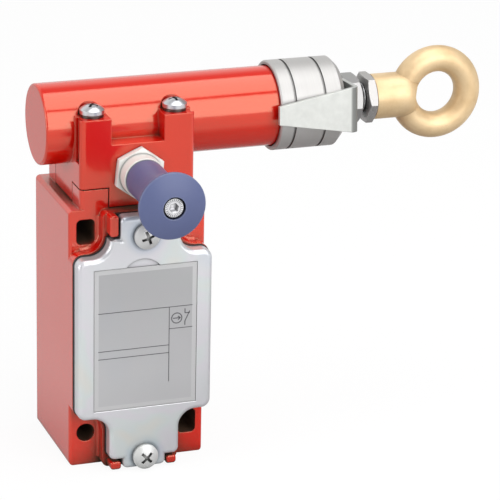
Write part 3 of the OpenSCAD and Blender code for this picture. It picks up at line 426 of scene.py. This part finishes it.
def cover_sheet(name):
    """The cover's plated pressing: faintly stained bluish around its two screws."""
    material = zinc_plate(name, (0.68, 0.69, 0.705), rough=0.36, bloom=0.5, radius=0.4 * MM,
                          metallic=0.6)
    tree = material.node_tree
    shader = tree.nodes["Principled BSDF"]
    low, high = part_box("cover_screws")
    head_radius = (high[0] - low[0]) / 2
    place = tree.nodes.new("ShaderNodeTexCoord")
    cloud = add(tree, "ShaderNodeTexNoise", Scale=160.0, Detail=2.0, Roughness=0.5)
    tree.links.new(place.outputs["Object"], cloud.inputs["Vector"])
    stain = None
    for z in (low[2] + head_radius, high[2] - head_radius):
        away = add(tree, "ShaderNodeVectorMath", operation="DISTANCE")
        tree.links.new(place.outputs["Object"], away.inputs[0])
        away.inputs[1].default_value = (middle(low[0], high[0]), low[1], z)
        ring = add(tree, "ShaderNodeMapRange", interpolation_type="SMOOTHSTEP",
                   From_Min=head_radius * 2.0, From_Max=head_radius * 0.9, To_Max=1.5)
        tree.links.new(away.outputs["Value"], ring.inputs["Value"])
        ring = ring.outputs["Result"]
        stain = ring if stain is None else maths(tree, "MAXIMUM", stain, ring)
    share = maths(tree, "MULTIPLY", stain, cloud.outputs["Fac"], clamp=True)
    plain = shader.inputs["Base Color"].links[0].from_socket
    tinted = blend_colours(tree, 1.0, plain, STAIN_TINT, "MULTIPLY")
    tree.links.new(blend_colours(tree, share, plain, tinted), shader.inputs["Base Color"])
    return material


def label_foil(name):
    """Foil label: a bare margin around a duller printed field that darkens a little upwards."""
    material = zinc_plate(name, (0.50, 0.50, 0.51), rough=0.42, bloom=0.1, radius=0.1 * MM,
                          metallic=0.5)
    tree = material.node_tree
    shader = tree.nodes["Principled BSDF"]
    low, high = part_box("label_plate")
    place = tree.nodes.new("ShaderNodeTexCoord")
    parts = tree.nodes.new("ShaderNodeSeparateXYZ")
    tree.links.new(place.outputs["Object"], parts.inputs[0])
    margin = None
    for axis, name_of in ((0, "X"), (2, "Z")):
        half = (high[axis] - low[axis]) / 2
        off = maths(tree, "SUBTRACT", parts.outputs[name_of], middle(low[axis], high[axis]))
        off = maths(tree, "ABSOLUTE", off, 0.0)
        side = maths(tree, "GREATER_THAN", off, half - LABEL_MARGIN)
        margin = side if margin is None else maths(tree, "MAXIMUM", margin, side)
    upwards = add(tree, "ShaderNodeMapRange", From_Min=low[2] + 10 * MM,
                  From_Max=high[2] - 8 * MM, To_Max=0.5)
    tree.links.new(parts.outputs["Z"], upwards.inputs["Value"])
    plain = shader.inputs["Base Color"].links[0].from_socket
    duller = blend_colours(tree, 1.0, plain, (0.72, 0.72, 0.72), "MULTIPLY")
    field = blend_colours(tree, upwards.outputs["Result"], plain, duller)
    bare = blend_colours(tree, 1.0, plain, (1.12, 1.12, 1.11), "MULTIPLY")
    tree.links.new(blend_colours(tree, margin, field, bare), shader.inputs["Base Color"])
    return material


def bent_strip(name, colour, rough):
    """Flat steel with a fine cloudy grain, with painted shade on the outside of the stirrup's end
    bends.
    """
    material, tree, shader = new_material(name, Metallic=0.6)
    darker = tuple(channel * 0.84 for channel in colour)
    skin = use_group(tree, SKIN, Colour=colour, Second_colour=darker, Patch_scale=420.0,
                     Patch_strength=0.5, Grain_scale=1500.0, Roughness=rough,
                     Roughness_spread=0.2)
    raise_height(tree, shader, skin.outputs["Height"],
                 distance=0.06 * MM, strength=0.3, radius=0.25 * MM)
    surface = tree.nodes.new("ShaderNodeNewGeometry")
    facing = tree.nodes.new("ShaderNodeSeparateXYZ")
    tree.links.new(surface.outputs["Normal"], facing.inputs[0])
    place = tree.nodes.new("ShaderNodeTexCoord")
    parts = tree.nodes.new("ShaderNodeSeparateXYZ")
    tree.links.new(place.outputs["Object"], parts.inputs[0])
    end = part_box("stirrup_pointer")[1][0]
    near_end = add(tree, "ShaderNodeMapRange", interpolation_type="SMOOTHSTEP",
                   From_Min=end - BEND_SHADE_START, From_Max=end - BEND_SHADE_FULL)
    tree.links.new(parts.outputs["X"], near_end.inputs["Value"])
    sideways = maths(tree, "ABSOLUTE", facing.outputs["Y"], 0.0)
    sideways = maths(tree, "MULTIPLY", sideways, 4.0, clamp=True)
    # painted shade: darker on the outside of the end bends
    bend_shade_mask = maths(tree, "MULTIPLY", near_end.outputs["Result"], sideways)
    painted_bend_shade = tuple(channel * 0.36 for channel in colour)
    mixed = blend_colours(tree, bend_shade_mask, skin.outputs["Colour"], painted_bend_shade)
    # painted shade in hollows
    mixed = shaded(tree, mixed, reach=1.5 * MM, depth=0.8)
    tree.links.new(mixed, shader.inputs["Base Color"])
    tree.links.new(skin.outputs["Roughness"], shader.inputs["Roughness"])
    return material


def knob_moulding(name, colour, second):
    """Matt moulded plastic with a painted highlight along its edges, which are also smoother from
    handling with gloves.
    """
    material = moulding(name, colour, second, 0.4)
    tree = material.node_tree
    shader = tree.nodes["Principled BSDF"]
    shader.inputs["Specular IOR Level"].default_value = 0.4
    edges = use_group(tree, EDGES, Radius=0.6 * MM)
    plain = shader.inputs["Base Color"].links[0].from_socket
    # painted highlight: lighter colour along the knob's edges
    rim_highlight = maths(tree, "MULTIPLY", edges.outputs["Edge"], 0.6)
    tree.links.new(blend_colours(tree, rim_highlight, plain, KNOB_EDGE_HIGHLIGHT), shader.inputs["Base Color"])
    polished = maths(tree, "MULTIPLY", edges.outputs["Edge"], 0.24)
    matt = shader.inputs["Roughness"].links[0].from_socket
    rough = maths(tree, "SUBTRACT", matt, polished, clamp=True)
    tree.links.new(rough, shader.inputs["Roughness"])
    return material


def brushed_metal(name, colour, rough, stretch, metallic=1.0):
    """Metal with fine parallel lines from turning or brushing."""
    material, tree, shader = new_material(name, Metallic=metallic)
    lines = use_group(tree, BRUSH, Stretch=stretch, Roughness=rough, Roughness_spread=0.18)
    raise_height(tree, shader, lines.outputs["Height"],
                 distance=0.02 * MM, strength=0.15, radius=0.25 * MM)
    shade = maths(tree, "MULTIPLY", lines.outputs["Lines"], 0.35)
    darker = tuple(channel * 0.82 for channel in colour)
    mixed = blend_colours(tree, shade, colour, darker)
    # painted shade in hollows
    mixed = shaded(tree, mixed, reach=1.5 * MM, depth=0.8)
    tree.links.new(mixed, shader.inputs["Base Color"])
    tree.links.new(lines.outputs["Roughness"], shader.inputs["Roughness"])
    return material


def sand_cast(name, colour, shadow):
    """Tumbled brass casting with a fine pitted skin."""
    material, tree, shader = new_material(name, Metallic=0.45)
    skin = use_group(tree, SKIN, Colour=colour, Second_colour=shadow, Patch_scale=160.0,
                     Patch_strength=0.45, Grain_scale=1600.0, Roughness=0.42,
                     Roughness_spread=0.15)
    raise_height(tree, shader, skin.outputs["Height"],
                 distance=0.2 * MM, strength=0.35, radius=0.4 * MM)
    # painted shade in hollows
    mixed = shaded(tree, skin.outputs["Colour"], reach=6 * MM, depth=0.6)
    tree.links.new(mixed, shader.inputs["Base Color"])
    tree.links.new(skin.outputs["Roughness"], shader.inputs["Roughness"])
    return material


def moulding(name, colour, second, rough, grain=1800.0):
    """Moulded plastic or rubber with a fine eroded grain."""
    material, tree, shader = new_material(name, IOR=1.49)
    skin = use_group(tree, SKIN, Colour=colour, Second_colour=second, Patch_scale=70.0,
                     Patch_strength=0.35, Grain_scale=grain, Roughness=rough,
                     Roughness_spread=0.15)
    raise_height(tree, shader, skin.outputs["Height"],
                 distance=0.08 * MM, strength=0.2, radius=0.4 * MM)
    # painted shade in hollows
    mixed = shaded(tree, skin.outputs["Colour"], reach=1.5 * MM, depth=0.8)
    tree.links.new(mixed, shader.inputs["Base Color"])
    tree.links.new(skin.outputs["Roughness"], shader.inputs["Roughness"])
    return material


# Stretch of the brushed lines, for lines along X, along Z and around X.
ALONG_X = (120.0, 2600.0, 2600.0)
ALONG_Z = (2600.0, 2600.0, 120.0)
AROUND_X = (4200.0, 60.0, 60.0)

# Each slot's builder and the values that it takes after the name.
FINISHES = {
    "housing_paint": (gloss_paint, (0.66, 0.0035, 0.0015), (0.61, 0.0025, 0.0010),
                      0.3, 0.65, 0.52),
    "head_paint": (gloss_paint, (0.62, 0.0040, 0.0015), (0.58, 0.0030, 0.0010),
                   0.12, 0.35, 0.36),
    "cover_zinc": (cover_sheet,),
    "label_foil": (label_foil,),
    "gasket_rubber": (moulding, (0.018, 0.018, 0.020), (0.03, 0.03, 0.03), 0.55),
    "seal_rubber": (moulding, (0.018, 0.018, 0.020), (0.03, 0.03, 0.03), 0.55),
    "wiper_rubber": (moulding, (0.015, 0.015, 0.016), (0.03, 0.03, 0.03), 0.5),
    "screw_steel": (zinc_plate, (0.66, 0.66, 0.655), 0.46, 0.15, 0.00012, 0.45),
    "head_screw_steel": (zinc_plate, (0.62, 0.62, 0.64), 0.3, 0.15, 0.00012, 1.0),
    "washer_steel": (zinc_plate, (0.20, 0.19, 0.18), 0.3, 0.2, 0.0001, 1.0),
    "sleeve_metal": (brushed_metal, (0.524, 0.515, 0.504), 0.50, AROUND_X, 0.7),
    "stirrup_steel": (bent_strip, (0.62, 0.63, 0.605), 0.42),
    "rod_steel": (brushed_metal, (0.62, 0.62, 0.63), 0.25, AROUND_X),
    "nut_steel": (zinc_plate, (0.36, 0.355, 0.35), 0.30, 0.15, 0.00015, 0.6),
    "jam_nut_steel": (zinc_plate, (0.40, 0.39, 0.38), 0.28, 0.15, 0.00015, 0.6),
    "eye_brass": (sand_cast, (0.78, 0.58, 0.34), (0.58, 0.38, 0.18)),
    "bushing_metal": (zinc_plate, (0.76, 0.75, 0.71), 0.5, 0.1, 0.0002, 0.15),
    "knob_plastic": (knob_moulding, (0.102, 0.124, 0.250), (0.088, 0.106, 0.225)),
    "knob_screw_steel": (zinc_plate, (0.82, 0.82, 0.84), 0.2, 0.1, 0.0001, 1.0),
    "bush_bronze": (brushed_metal, (0.50, 0.33, 0.16), 0.4, AROUND_X),
    "guide_bronze": (brushed_metal, (0.50, 0.33, 0.16), 0.4, ALONG_Z),
    "cam_steel": (brushed_metal, (0.35, 0.35, 0.37), 0.25, AROUND_X),
    "pin_steel": (brushed_metal, (0.45, 0.45, 0.47), 0.2, ALONG_X),
    "seat_brass": (brushed_metal, (0.66, 0.50, 0.24), 0.3, AROUND_X),
    "spring_steel": (brushed_metal, (0.30, 0.30, 0.31), 0.35, ALONG_X),
    "latch_spring_steel": (brushed_metal, (0.35, 0.35, 0.36), 0.3, ALONG_X),
    "contact_spring_steel": (brushed_metal, (0.35, 0.35, 0.36), 0.3, ALONG_Z),
    "latch_steel": (brushed_metal, (0.55, 0.55, 0.57), 0.2, ALONG_Z),
    "plunger_plastic": (moulding, (0.80, 0.78, 0.72), (0.75, 0.73, 0.66), 0.4),
    "carrier_plastic": (moulding, (0.72, 0.68, 0.56), (0.68, 0.63, 0.50), 0.45),
    "block_plastic": (moulding, (0.035, 0.035, 0.040), (0.05, 0.05, 0.05), 0.5),
    "contact_silver": (brushed_metal, (0.75, 0.68, 0.58), 0.3, ALONG_X),
    "terminal_brass": (brushed_metal, (0.70, 0.56, 0.30), 0.3, ALONG_X),
    "terminal_screw_steel": (zinc_plate, (0.62, 0.62, 0.64), 0.25, 0.3, 0.0001, 1.0),
    "block_screw_steel": (zinc_plate, (0.62, 0.62, 0.64), 0.25, 0.3, 0.0001, 1.0),
    "earth_brass": (zinc_plate, (0.62, 0.50, 0.14), 0.3, 0.3, 0.0001, 1.0),
}

finishes = {slot: build(slot, *values) for slot, (build, *values) in FINISHES.items()}
SLOT_OF = {part["node"]: part["material_slot"] for part in frame["record"]["subparts"]}
for node, slot_name in SLOT_OF.items():
    for slot in nodes[node].material_slots:
        slot.material = finishes[slot_name]

INK = moulding("label_ink", (0.10, 0.10, 0.11), (0.16, 0.16, 0.17), 0.5, 2500.0)


# ---------- pieces grown by geometry nodes ----------

def geometry_tree(name, **inputs):
    """An empty geometry node tree with named number inputs."""
    tree = bpy.data.node_groups.new(name, "GeometryNodeTree")
    tree.interface.new_socket("Geometry", in_out="OUTPUT", socket_type="NodeSocketGeometry")
    tree.interface.new_socket("Finish", in_out="INPUT", socket_type="NodeSocketMaterial")
    for label, value in inputs.items():
        kind = "NodeSocketInt" if isinstance(value, int) else "NodeSocketFloat"
        socket = tree.interface.new_socket(label.replace("_", " "), in_out="INPUT",
                                           socket_type=kind)
        socket.default_value = value
    source = tree.nodes.new("NodeGroupInput")
    return tree, source


def close_tree(tree, source, geometry):
    """Ends a tree in Realize Instances and Set Material."""
    realize = tree.nodes.new("GeometryNodeRealizeInstances")
    finish = tree.nodes.new("GeometryNodeSetMaterial")
    sink = tree.nodes.new("NodeGroupOutput")
    tree.links.new(geometry, realize.inputs[0])
    tree.links.new(realize.outputs[0], finish.inputs["Geometry"])
    tree.links.new(source.outputs["Finish"], finish.inputs["Material"])
    tree.links.new(finish.outputs["Geometry"], sink.inputs["Geometry"])


def wire(tree, source, label, socket):
    """Leads one of a tree's named inputs to a socket."""
    tree.links.new(source.outputs[label], socket)


def helix_tree():
    """A wire or ridge wound along +Z from the origin; its section has a chosen count of sides."""
    tree, source = geometry_tree("helix", Radius=0.004, Length=0.01, Turns=8.0, Ridge=0.0004,
                                 Steps_per_turn=40, Sides=4)
    spiral = add(tree, "GeometryNodeCurveSpiral")
    wire(tree, source, "Steps per turn", spiral.inputs["Resolution"])
    wire(tree, source, "Turns", spiral.inputs["Rotations"])
    wire(tree, source, "Radius", spiral.inputs["Start Radius"])
    wire(tree, source, "Radius", spiral.inputs["End Radius"])
    wire(tree, source, "Length", spiral.inputs["Height"])
    section = tree.nodes.new("GeometryNodeCurvePrimitiveCircle")
    wire(tree, source, "Sides", section.inputs["Resolution"])
    wire(tree, source, "Ridge", section.inputs["Radius"])
    sweep = tree.nodes.new("GeometryNodeCurveToMesh")
    sweep.inputs["Fill Caps"].default_value = True
    tree.links.new(spiral.outputs["Curve"], sweep.inputs["Curve"])
    tree.links.new(section.outputs["Curve"], sweep.inputs["Profile Curve"])
    close_tree(tree, source, sweep.outputs["Mesh"])
    return tree


def rule_tree():
    """Equal printed rules along X, stacked down -Z."""
    tree, source = geometry_tree("printed rules", Length=0.02, Width=0.0003, Thickness=0.00003,
                                 Spacing=0.004, Rules=4)
    size = tree.nodes.new("ShaderNodeCombineXYZ")
    wire(tree, source, "Length", size.inputs["X"])
    wire(tree, source, "Thickness", size.inputs["Y"])
    wire(tree, source, "Width", size.inputs["Z"])
    bar = tree.nodes.new("GeometryNodeMeshCube")
    tree.links.new(size.outputs["Vector"], bar.inputs["Size"])
    down = add(tree, "ShaderNodeMath", operation="MULTIPLY")
    down.inputs[1].default_value = -1.0
    wire(tree, source, "Spacing", down.inputs[0])
    step = tree.nodes.new("ShaderNodeCombineXYZ")
    tree.links.new(down.outputs[0], step.inputs["Z"])
    line = tree.nodes.new("GeometryNodeMeshLine")
    wire(tree, source, "Rules", line.inputs["Count"])
    tree.links.new(step.outputs["Vector"], line.inputs["Offset"])
    place = tree.nodes.new("GeometryNodeInstanceOnPoints")
    tree.links.new(line.outputs["Mesh"], place.inputs["Points"])
    tree.links.new(bar.outputs["Mesh"], place.inputs["Instance"])
    close_tree(tree, source, place.outputs["Instances"])
    return tree


def serration_tree():
    """Short ridges around a circle about the Z axis."""
    tree, source = geometry_tree("serrations", Radius=0.0025, Length=0.0006, Width=0.0003,
                                 Height=0.0004, Ridges=24)
    ring = tree.nodes.new("GeometryNodeMeshCircle")
    wire(tree, source, "Ridges", ring.inputs["Vertices"])
    wire(tree, source, "Radius", ring.inputs["Radius"])
    size = tree.nodes.new("ShaderNodeCombineXYZ")
    wire(tree, source, "Length", size.inputs["X"])
    wire(tree, source, "Width", size.inputs["Y"])
    wire(tree, source, "Height", size.inputs["Z"])
    ridge = tree.nodes.new("GeometryNodeMeshCube")
    tree.links.new(size.outputs["Vector"], ridge.inputs["Size"])
    outward = tree.nodes.new("GeometryNodeInputPosition")
    aim = add(tree, "FunctionNodeAlignRotationToVector", axis="X")
    tree.links.new(outward.outputs["Position"], aim.inputs["Vector"])
    place = tree.nodes.new("GeometryNodeInstanceOnPoints")
    tree.links.new(ring.outputs["Mesh"], place.inputs["Points"])
    tree.links.new(ridge.outputs["Mesh"], place.inputs["Instance"])
    tree.links.new(aim.outputs["Rotation"], place.inputs["Rotation"])
    close_tree(tree, source, place.outputs["Instances"])
    return tree


def grow(name, tree, material, body, slot, place, **sizes):
    """Runs a tree once, keeps the result as a plain mesh set in place, and rides it on a body."""
    seed = bpy.data.objects.new(name + "_seed", bpy.data.meshes.new(name + "_seed"))
    bpy.context.collection.objects.link(seed)
    modifier = seed.modifiers.new("build", "NODES")
    modifier.node_group = tree
    wanted = {label.replace("_", " "): value for label, value in sizes.items()}
    wanted["Finish"] = material
    for item in tree.interface.items_tree:
        if item.item_type == "SOCKET" and item.in_out == "INPUT" and item.name in wanted:
            modifier[item.identifier] = wanted[item.name]
    ready = seed.evaluated_get(bpy.context.evaluated_depsgraph_get())
    mesh = bpy.data.meshes.new_from_object(ready)
    mesh.transform(place)
    mesh.name = name
    bpy.data.objects.remove(seed)
    piece = bpy.data.objects.new(name, mesh)
    bpy.context.collection.objects.link(piece)
    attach(piece, body)
    return piece


# Turns that lay a piece made along +Z onto +X, or onto -Y, the front.
ONTO_X = Matrix.Rotation(math.radians(90), 4, "Y")
ONTO_FRONT = Matrix.Rotation(math.radians(90), 4, "X")

HELIX = helix_tree()
RULES = rule_tree()


def rope_rod_thread():
    """Thread on the rod between the two nuts, where it shows."""
    nut_low, nut_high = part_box("rod_nut")
    jam_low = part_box("jam_nut")[0]
    rod_low, rod_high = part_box("rope_rod")
    start = nut_high[0] - THREAD_OVERLAP
    length = jam_low[0] - start + THREAD_OVERLAP
    radius = (rod_high[2] - rod_low[2]) / 2
    centre_y = middle(nut_low[1], nut_high[1])
    place = Matrix.Translation((start, centre_y, middle(rod_low[2], rod_high[2])))
    grow("rod_thread", HELIX, finishes["rod_steel"], "rope_rod_assembly", "rod_steel",
         place @ ONTO_X, Radius=radius, Length=length, Turns=length / THREAD_PITCH,
         Ridge=THREAD_DEPTH)


def cable_entry_thread():
    """Thread inside the cable entry under the housing."""
    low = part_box("housing")[0]
    entry = next(m for m in frame["record"]["mounts"] if m["name"] == "cable_entry")
    radius = entry["dims"]["r_mm"] * MM
    plain_end = 1.2 * MM
    length = entry["dims"]["length_mm"] * MM - 2 * plain_end
    place = Matrix.Translation((entry["pos_m"][0], entry["pos_m"][1], low[2] + plain_end))
    grow("entry_thread", HELIX, finishes["housing_paint"], "switch_body", "housing_paint",
         place, Radius=radius + 0.1 * MM, Length=length, Turns=length / ENTRY_PITCH,
         Ridge=ENTRY_DEPTH, Steps_per_turn=72)


def coil_spring(node, turn_onto, axis, anchor, wire_size, turns):
    """A round wire spring in place of its coarser solid."""
    low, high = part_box(node)
    size = high - low
    along = max(range(3), key=lambda k: abs(axis[k]))
    across = (along + 1) % 3
    start = Vector(middle(low[k], high[k]) for k in range(3))
    start[along] = low[along] if axis[along] > 0 else high[along]
    start += Vector(axis) * wire_size / 2
    end = Vector(middle(low[k], high[k]) for k in range(3))
    end[along] = (high if anchor > 0 else low)[along]
    piece = grow(node + "_coil", HELIX, finishes[SLOT_OF[node]], "switch_body",
                 SLOT_OF[node], Matrix.Translation(start) @ turn_onto,
                 Radius=size[across] / 2 - wire_size / 2, Length=size[along] - wire_size,
                 Turns=float(turns), Ridge=wire_size / 2, Steps_per_turn=28, Sides=12)
    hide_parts(node)
    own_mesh(piece)


def springs():
    """The three springs, each with its joint, direction, fixed end, wire and turns."""
    upright = Matrix.Identity(4)
    for node, joint, turn_onto, axis, anchor, wire_size, turns in (
            ("main_spring", "rope_pull", ONTO_X, (1, 0, 0), 1, 2 * MM, 7),
            ("latch_spring", "reset_pull", ONTO_FRONT, (0, -1, 0), -1, 0.5 * MM, 5.5),
            ("contact_spring", "plunger_press", upright, (0, 0, 1), -1, 0.5 * MM, 5)):
        coil_spring(node, turn_onto, axis, anchor, wire_size, turns)


def label_rules():
    """Ruled fields on the label, left blank."""
    low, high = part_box("label_plate")
    front = low[1] - RULE_HEIGHT / 2
    centre_x = middle(low[0], high[0])
    centre_z = middle(low[2], high[2])

    def rule_set(name, left, right, first, spacing, count, turned=False):
        """Rules between two x places, in millimetres from the label's middle."""
        place = Matrix.Translation((centre_x + middle(left, right) * MM, front,
                                    centre_z + first * MM))
        if turned:
            place = place @ ONTO_X
        grow(name, RULES, INK, "switch_body", "label_foil", place, Length=(right - left) * MM,
             Width=RULE_WIDTH, Thickness=RULE_HEIGHT, Spacing=spacing * MM, Rules=count)

    edge, column, head, drop = 13.7, 6.9, 8.2, 22.3
    rule_set("label_head_rule", -edge, edge, head, 1.0, 1)
    rule_set("label_field_rules", -edge, column, -3.1, 2.3, 2)
    rule_set("label_sign_rule", column, edge, 1.7, 1.0, 1)
    rule_set("label_column_edge", column - drop / 2, column + drop / 2, head - drop / 2,
             1.0, 1, turned=True)


def flat_stroke(builder, points, width, front):
    """A printed line of even width through points (x, z), standing on the label's face."""
    for (ax, az), (bx, bz) in zip(points, points[1:]):
        run = Vector((bx - ax, 0, bz - az))
        side = Vector((-run.z, 0, run.x)).normalized() * width / 2
        ends = [Vector((ax, front, az)), Vector((bx, front, bz))]
        corners = [ends[0] - side, ends[1] - side, ends[1] + side, ends[0] + side]
        lift = Vector((0, -RULE_HEIGHT, 0))
        base = [builder.verts.new(c) for c in corners]
        top = [builder.verts.new(c + lift) for c in corners]
        builder.faces.new(base)
        builder.faces.new(top[::-1])
        for k in range(4):
            n = (k + 1) % 4
            builder.faces.new((base[k], top[k], top[n], base[n]))


def label_sign():
    """Standard sign of a positive opening contact, in the upper right field of the label."""
    low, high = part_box("label_plate")
    centre_x = middle(low[0], high[0])
    centre_z = middle(low[2], high[2])

    def at(x, z):
        return (centre_x + x * MM, centre_z + z * MM)

    builder = bmesh.new()
    ring_radius, ring_steps = 1.5, 28
    ring = [at(9.1 + ring_radius * math.cos(a), 4.7 + ring_radius * math.sin(a))
            for a in (math.tau * k / ring_steps for k in range(ring_steps + 1))]
    strokes = [
        ring,
        [at(8.0, 4.7), at(10.1, 4.7)],
        [at(9.45, 5.25), at(10.15, 4.7), at(9.45, 4.15)],
        [at(11.5, 7.3), at(11.5, 6.0), at(12.9, 6.0)],
        [at(12.9, 6.5), at(11.5, 3.6), at(11.5, 2.4)],
    ]
    for points in strokes:
        flat_stroke(builder, points, SIGN_WIDTH, low[1])
    bmesh.ops.recalc_face_normals(builder, faces=builder.faces)
    mesh = bpy.data.meshes.new("label_sign")
    builder.to_mesh(mesh)
    builder.free()
    mesh.materials.append(INK)
    piece = bpy.data.objects.new("label_sign", mesh)
    bpy.context.collection.objects.link(piece)
    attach(piece, "switch_body")


def knob_screw_serrations():
    """Serrated ring around the face of the screw that holds the knob."""
    low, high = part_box("knob_screw")
    radius = (high[0] - low[0]) / 2
    length, width, height = SERRATION_SIZE
    place = Matrix.Translation((middle(low[0], high[0]), low[1] + 0.02 * MM,
                                middle(low[2], high[2])))
    grow("knob_screw_serrations", serration_tree(), finishes["knob_screw_steel"],
         "reset_assembly", "knob_screw_steel", place @ ONTO_FRONT, Radius=radius - 0.42 * MM,
         Length=length, Width=width, Height=height, Ridges=SERRATIONS)


rope_rod_thread()
cable_entry_thread()
springs()
label_rules()
label_sign()
knob_screw_serrations()


# ---------- floor, world and light ----------

def background_share(tree, place, camera, near, far, front, back):
    """How much plain white a ray sees: a fixed share for the camera, a fading one for gloss.

    The share for gloss goes from front to back between the places near and far, measured
    along BACKWARDS.
    """
    path = tree.nodes.new("ShaderNodeLightPath")
    slant = add(tree, "ShaderNodeVectorMath", operation="DOT_PRODUCT")
    tree.links.new(place, slant.inputs[0])
    slant.inputs[1].default_value = BACKWARDS
    fade = add(tree, "ShaderNodeMapRange", interpolation_type="SMOOTHSTEP",
               From_Min=near, From_Max=far, To_Min=front, To_Max=back)
    tree.links.new(slant.outputs["Value"], fade.inputs["Value"])
    gloss = maths(tree, "MULTIPLY", path.outputs["Is Glossy Ray"], fade.outputs["Result"])
    seen = maths(tree, "MAXIMUM", path.outputs["Is Camera Ray"],
                 path.outputs["Is Transmission Ray"])
    seen = maths(tree, "MULTIPLY", seen, camera)
    return maths(tree, "MAXIMUM", seen, gloss), path


def mix_shaders(tree, share, first, second):
    """Two shaders, with the given share of the second."""
    mix = tree.nodes.new("ShaderNodeMixShader")
    tree.links.new(share, mix.inputs[0])
    tree.links.new(first, mix.inputs[1])
    tree.links.new(second, mix.inputs[2])
    return mix.outputs[0]


def make_floor():
    """A wide plain floor that keeps the object's shadow; gloss sees a painted shadow on it, greyer
    near the object.
    """
    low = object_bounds()[0]
    half = 4.0
    mesh = bpy.data.meshes.new("floor")
    z = low[2] - 0.1 * MM
    corners = [(-half, -half, z), (half, -half, z), (half, half, z), (-half, half, z)]
    mesh.from_pydata(corners, [], [(0, 1, 2, 3)])
    floor = bpy.data.objects.new("floor", mesh)
    bpy.context.collection.objects.link(floor)
    material = bpy.data.materials.new("floor")
    material.use_nodes = True
    tree = material.node_tree
    tree.nodes.clear()
    where = tree.nodes.new("ShaderNodeTexCoord")
    share, path = background_share(tree, where.outputs["Object"], camera=0.92,
                                   near=-0.12, far=0.12, front=0.9, back=0.55)
    paper = blend_colours(tree, path.outputs["Is Camera Ray"], PAPER_BOUNCE, PAPER_WHITE)
    away = add(tree, "ShaderNodeVectorMath", operation="DISTANCE")
    tree.links.new(where.outputs["Object"], away.inputs[0])
    away.inputs[1].default_value = (*SHADOW_PATCH_PLACE, z)
    near = add(tree, "ShaderNodeMapRange", interpolation_type="SMOOTHSTEP",
               From_Min=SHADOW_PATCH_EDGE, From_Max=SHADOW_PATCH_FULL)
    tree.links.new(away.outputs["Value"], near.inputs["Value"])
    # painted shadow: gloss sees the floor greyer near the object
    painted_floor_shadow = maths(tree, "MULTIPLY", near.outputs["Result"], path.outputs["Is Glossy Ray"])
    paper = blend_colours(tree, painted_floor_shadow, paper, PAPER_PAINTED_SHADOW)
    share = maths(tree, "MULTIPLY", share, maths(tree, "SUBTRACT", 1.0, painted_floor_shadow))
    matt = tree.nodes.new("ShaderNodeBsdfDiffuse")
    tree.links.new(paper, matt.inputs["Color"])
    white = add(tree, "ShaderNodeEmission", Color=(1, 1, 1, 1), Strength=1.0)
    sink = tree.nodes.new("ShaderNodeOutputMaterial")
    mixed = mix_shaders(tree, share, matt.outputs[0], white.outputs[0])
    tree.links.new(mixed, sink.inputs["Surface"])
    mesh.materials.append(material)


def make_world():
    """Even light from all round; gloss sees it bright only low behind the object."""
    world = bpy.data.worlds.new("studio")
    bpy.context.scene.world = world
    world.use_nodes = True
    tree = world.node_tree
    tree.nodes.clear()
    where = tree.nodes.new("ShaderNodeTexCoord")
    share, _ = background_share(tree, where.outputs["Generated"], camera=1.0,
                                near=0.4, far=0.7, front=0.05, back=1.0)
    soft = add(tree, "ShaderNodeBackground", Color=(1, 1, 1, 1), Strength=0.35)
    white = add(tree, "ShaderNodeBackground", Color=(1, 1, 1, 1), Strength=1.0)
    sink = tree.nodes.new("ShaderNodeOutputWorld")
    mixed = mix_shaders(tree, share, soft.outputs[0], white.outputs[0])
    tree.links.new(mixed, sink.inputs["Surface"])


def softbox(name, place, aim, width, height, power):
    """A rectangular lamp that looks at a point."""
    lamp = bpy.data.lights.new(name, "AREA")
    lamp.shape = "RECTANGLE"
    lamp.size = width
    lamp.size_y = height
    lamp.energy = power
    holder = bpy.data.objects.new(name, lamp)
    bpy.context.collection.objects.link(holder)
    holder.location = place
    holder.rotation_euler = (Vector(aim) - Vector(place)).to_track_quat("-Z", "Y").to_euler()


def make_camera():
    """The viewing place: left of the front and above, with a long lens and a slight roll."""
    azimuth = math.radians(19.811)
    elevation = math.radians(19.651)
    roll = math.radians(1.201)
    target = Vector((38.361, -20.0, 14.624)) * MM
    distance = 833.105 * MM
    forward = Vector((math.sin(azimuth) * math.cos(elevation),
                      math.cos(azimuth) * math.cos(elevation), -math.sin(elevation)))
    right = Vector((math.cos(azimuth), -math.sin(azimuth), 0))
    up = right.cross(forward)
    side = math.cos(roll) * right + math.sin(roll) * up
    top = -math.sin(roll) * right + math.cos(roll) * up
    data = bpy.data.cameras.new("camera")
    data.sensor_width = 36.0
    data.lens = 208.34
    camera = bpy.data.objects.new("camera", data)
    bpy.context.collection.objects.link(camera)
    turn = Matrix((side, top, -forward)).transposed().to_4x4()
    camera.matrix_world = Matrix.Translation(target - forward * distance) @ turn
    data.clip_start = 0.01
    data.clip_end = 50.0
    bpy.context.scene.camera = camera


make_floor()
make_world()
# Each lamp's place, width, height and power in watts.
for name, place, width, height, power in (
        ("top_light", (0.15, -0.19, 0.93), 1.1, 0.78, 6.6),
        ("front_light", (0.39, -0.97, 0.47), 1.1, 0.97, 9.3),
        ("left_light", (-0.9, -0.15, 0.25), 0.6, 0.6, 3.4)):
    softbox(name, place, LIT_POINT, width, height, power)
make_camera()

scene = bpy.context.scene
scene.view_settings.view_transform = "Standard"
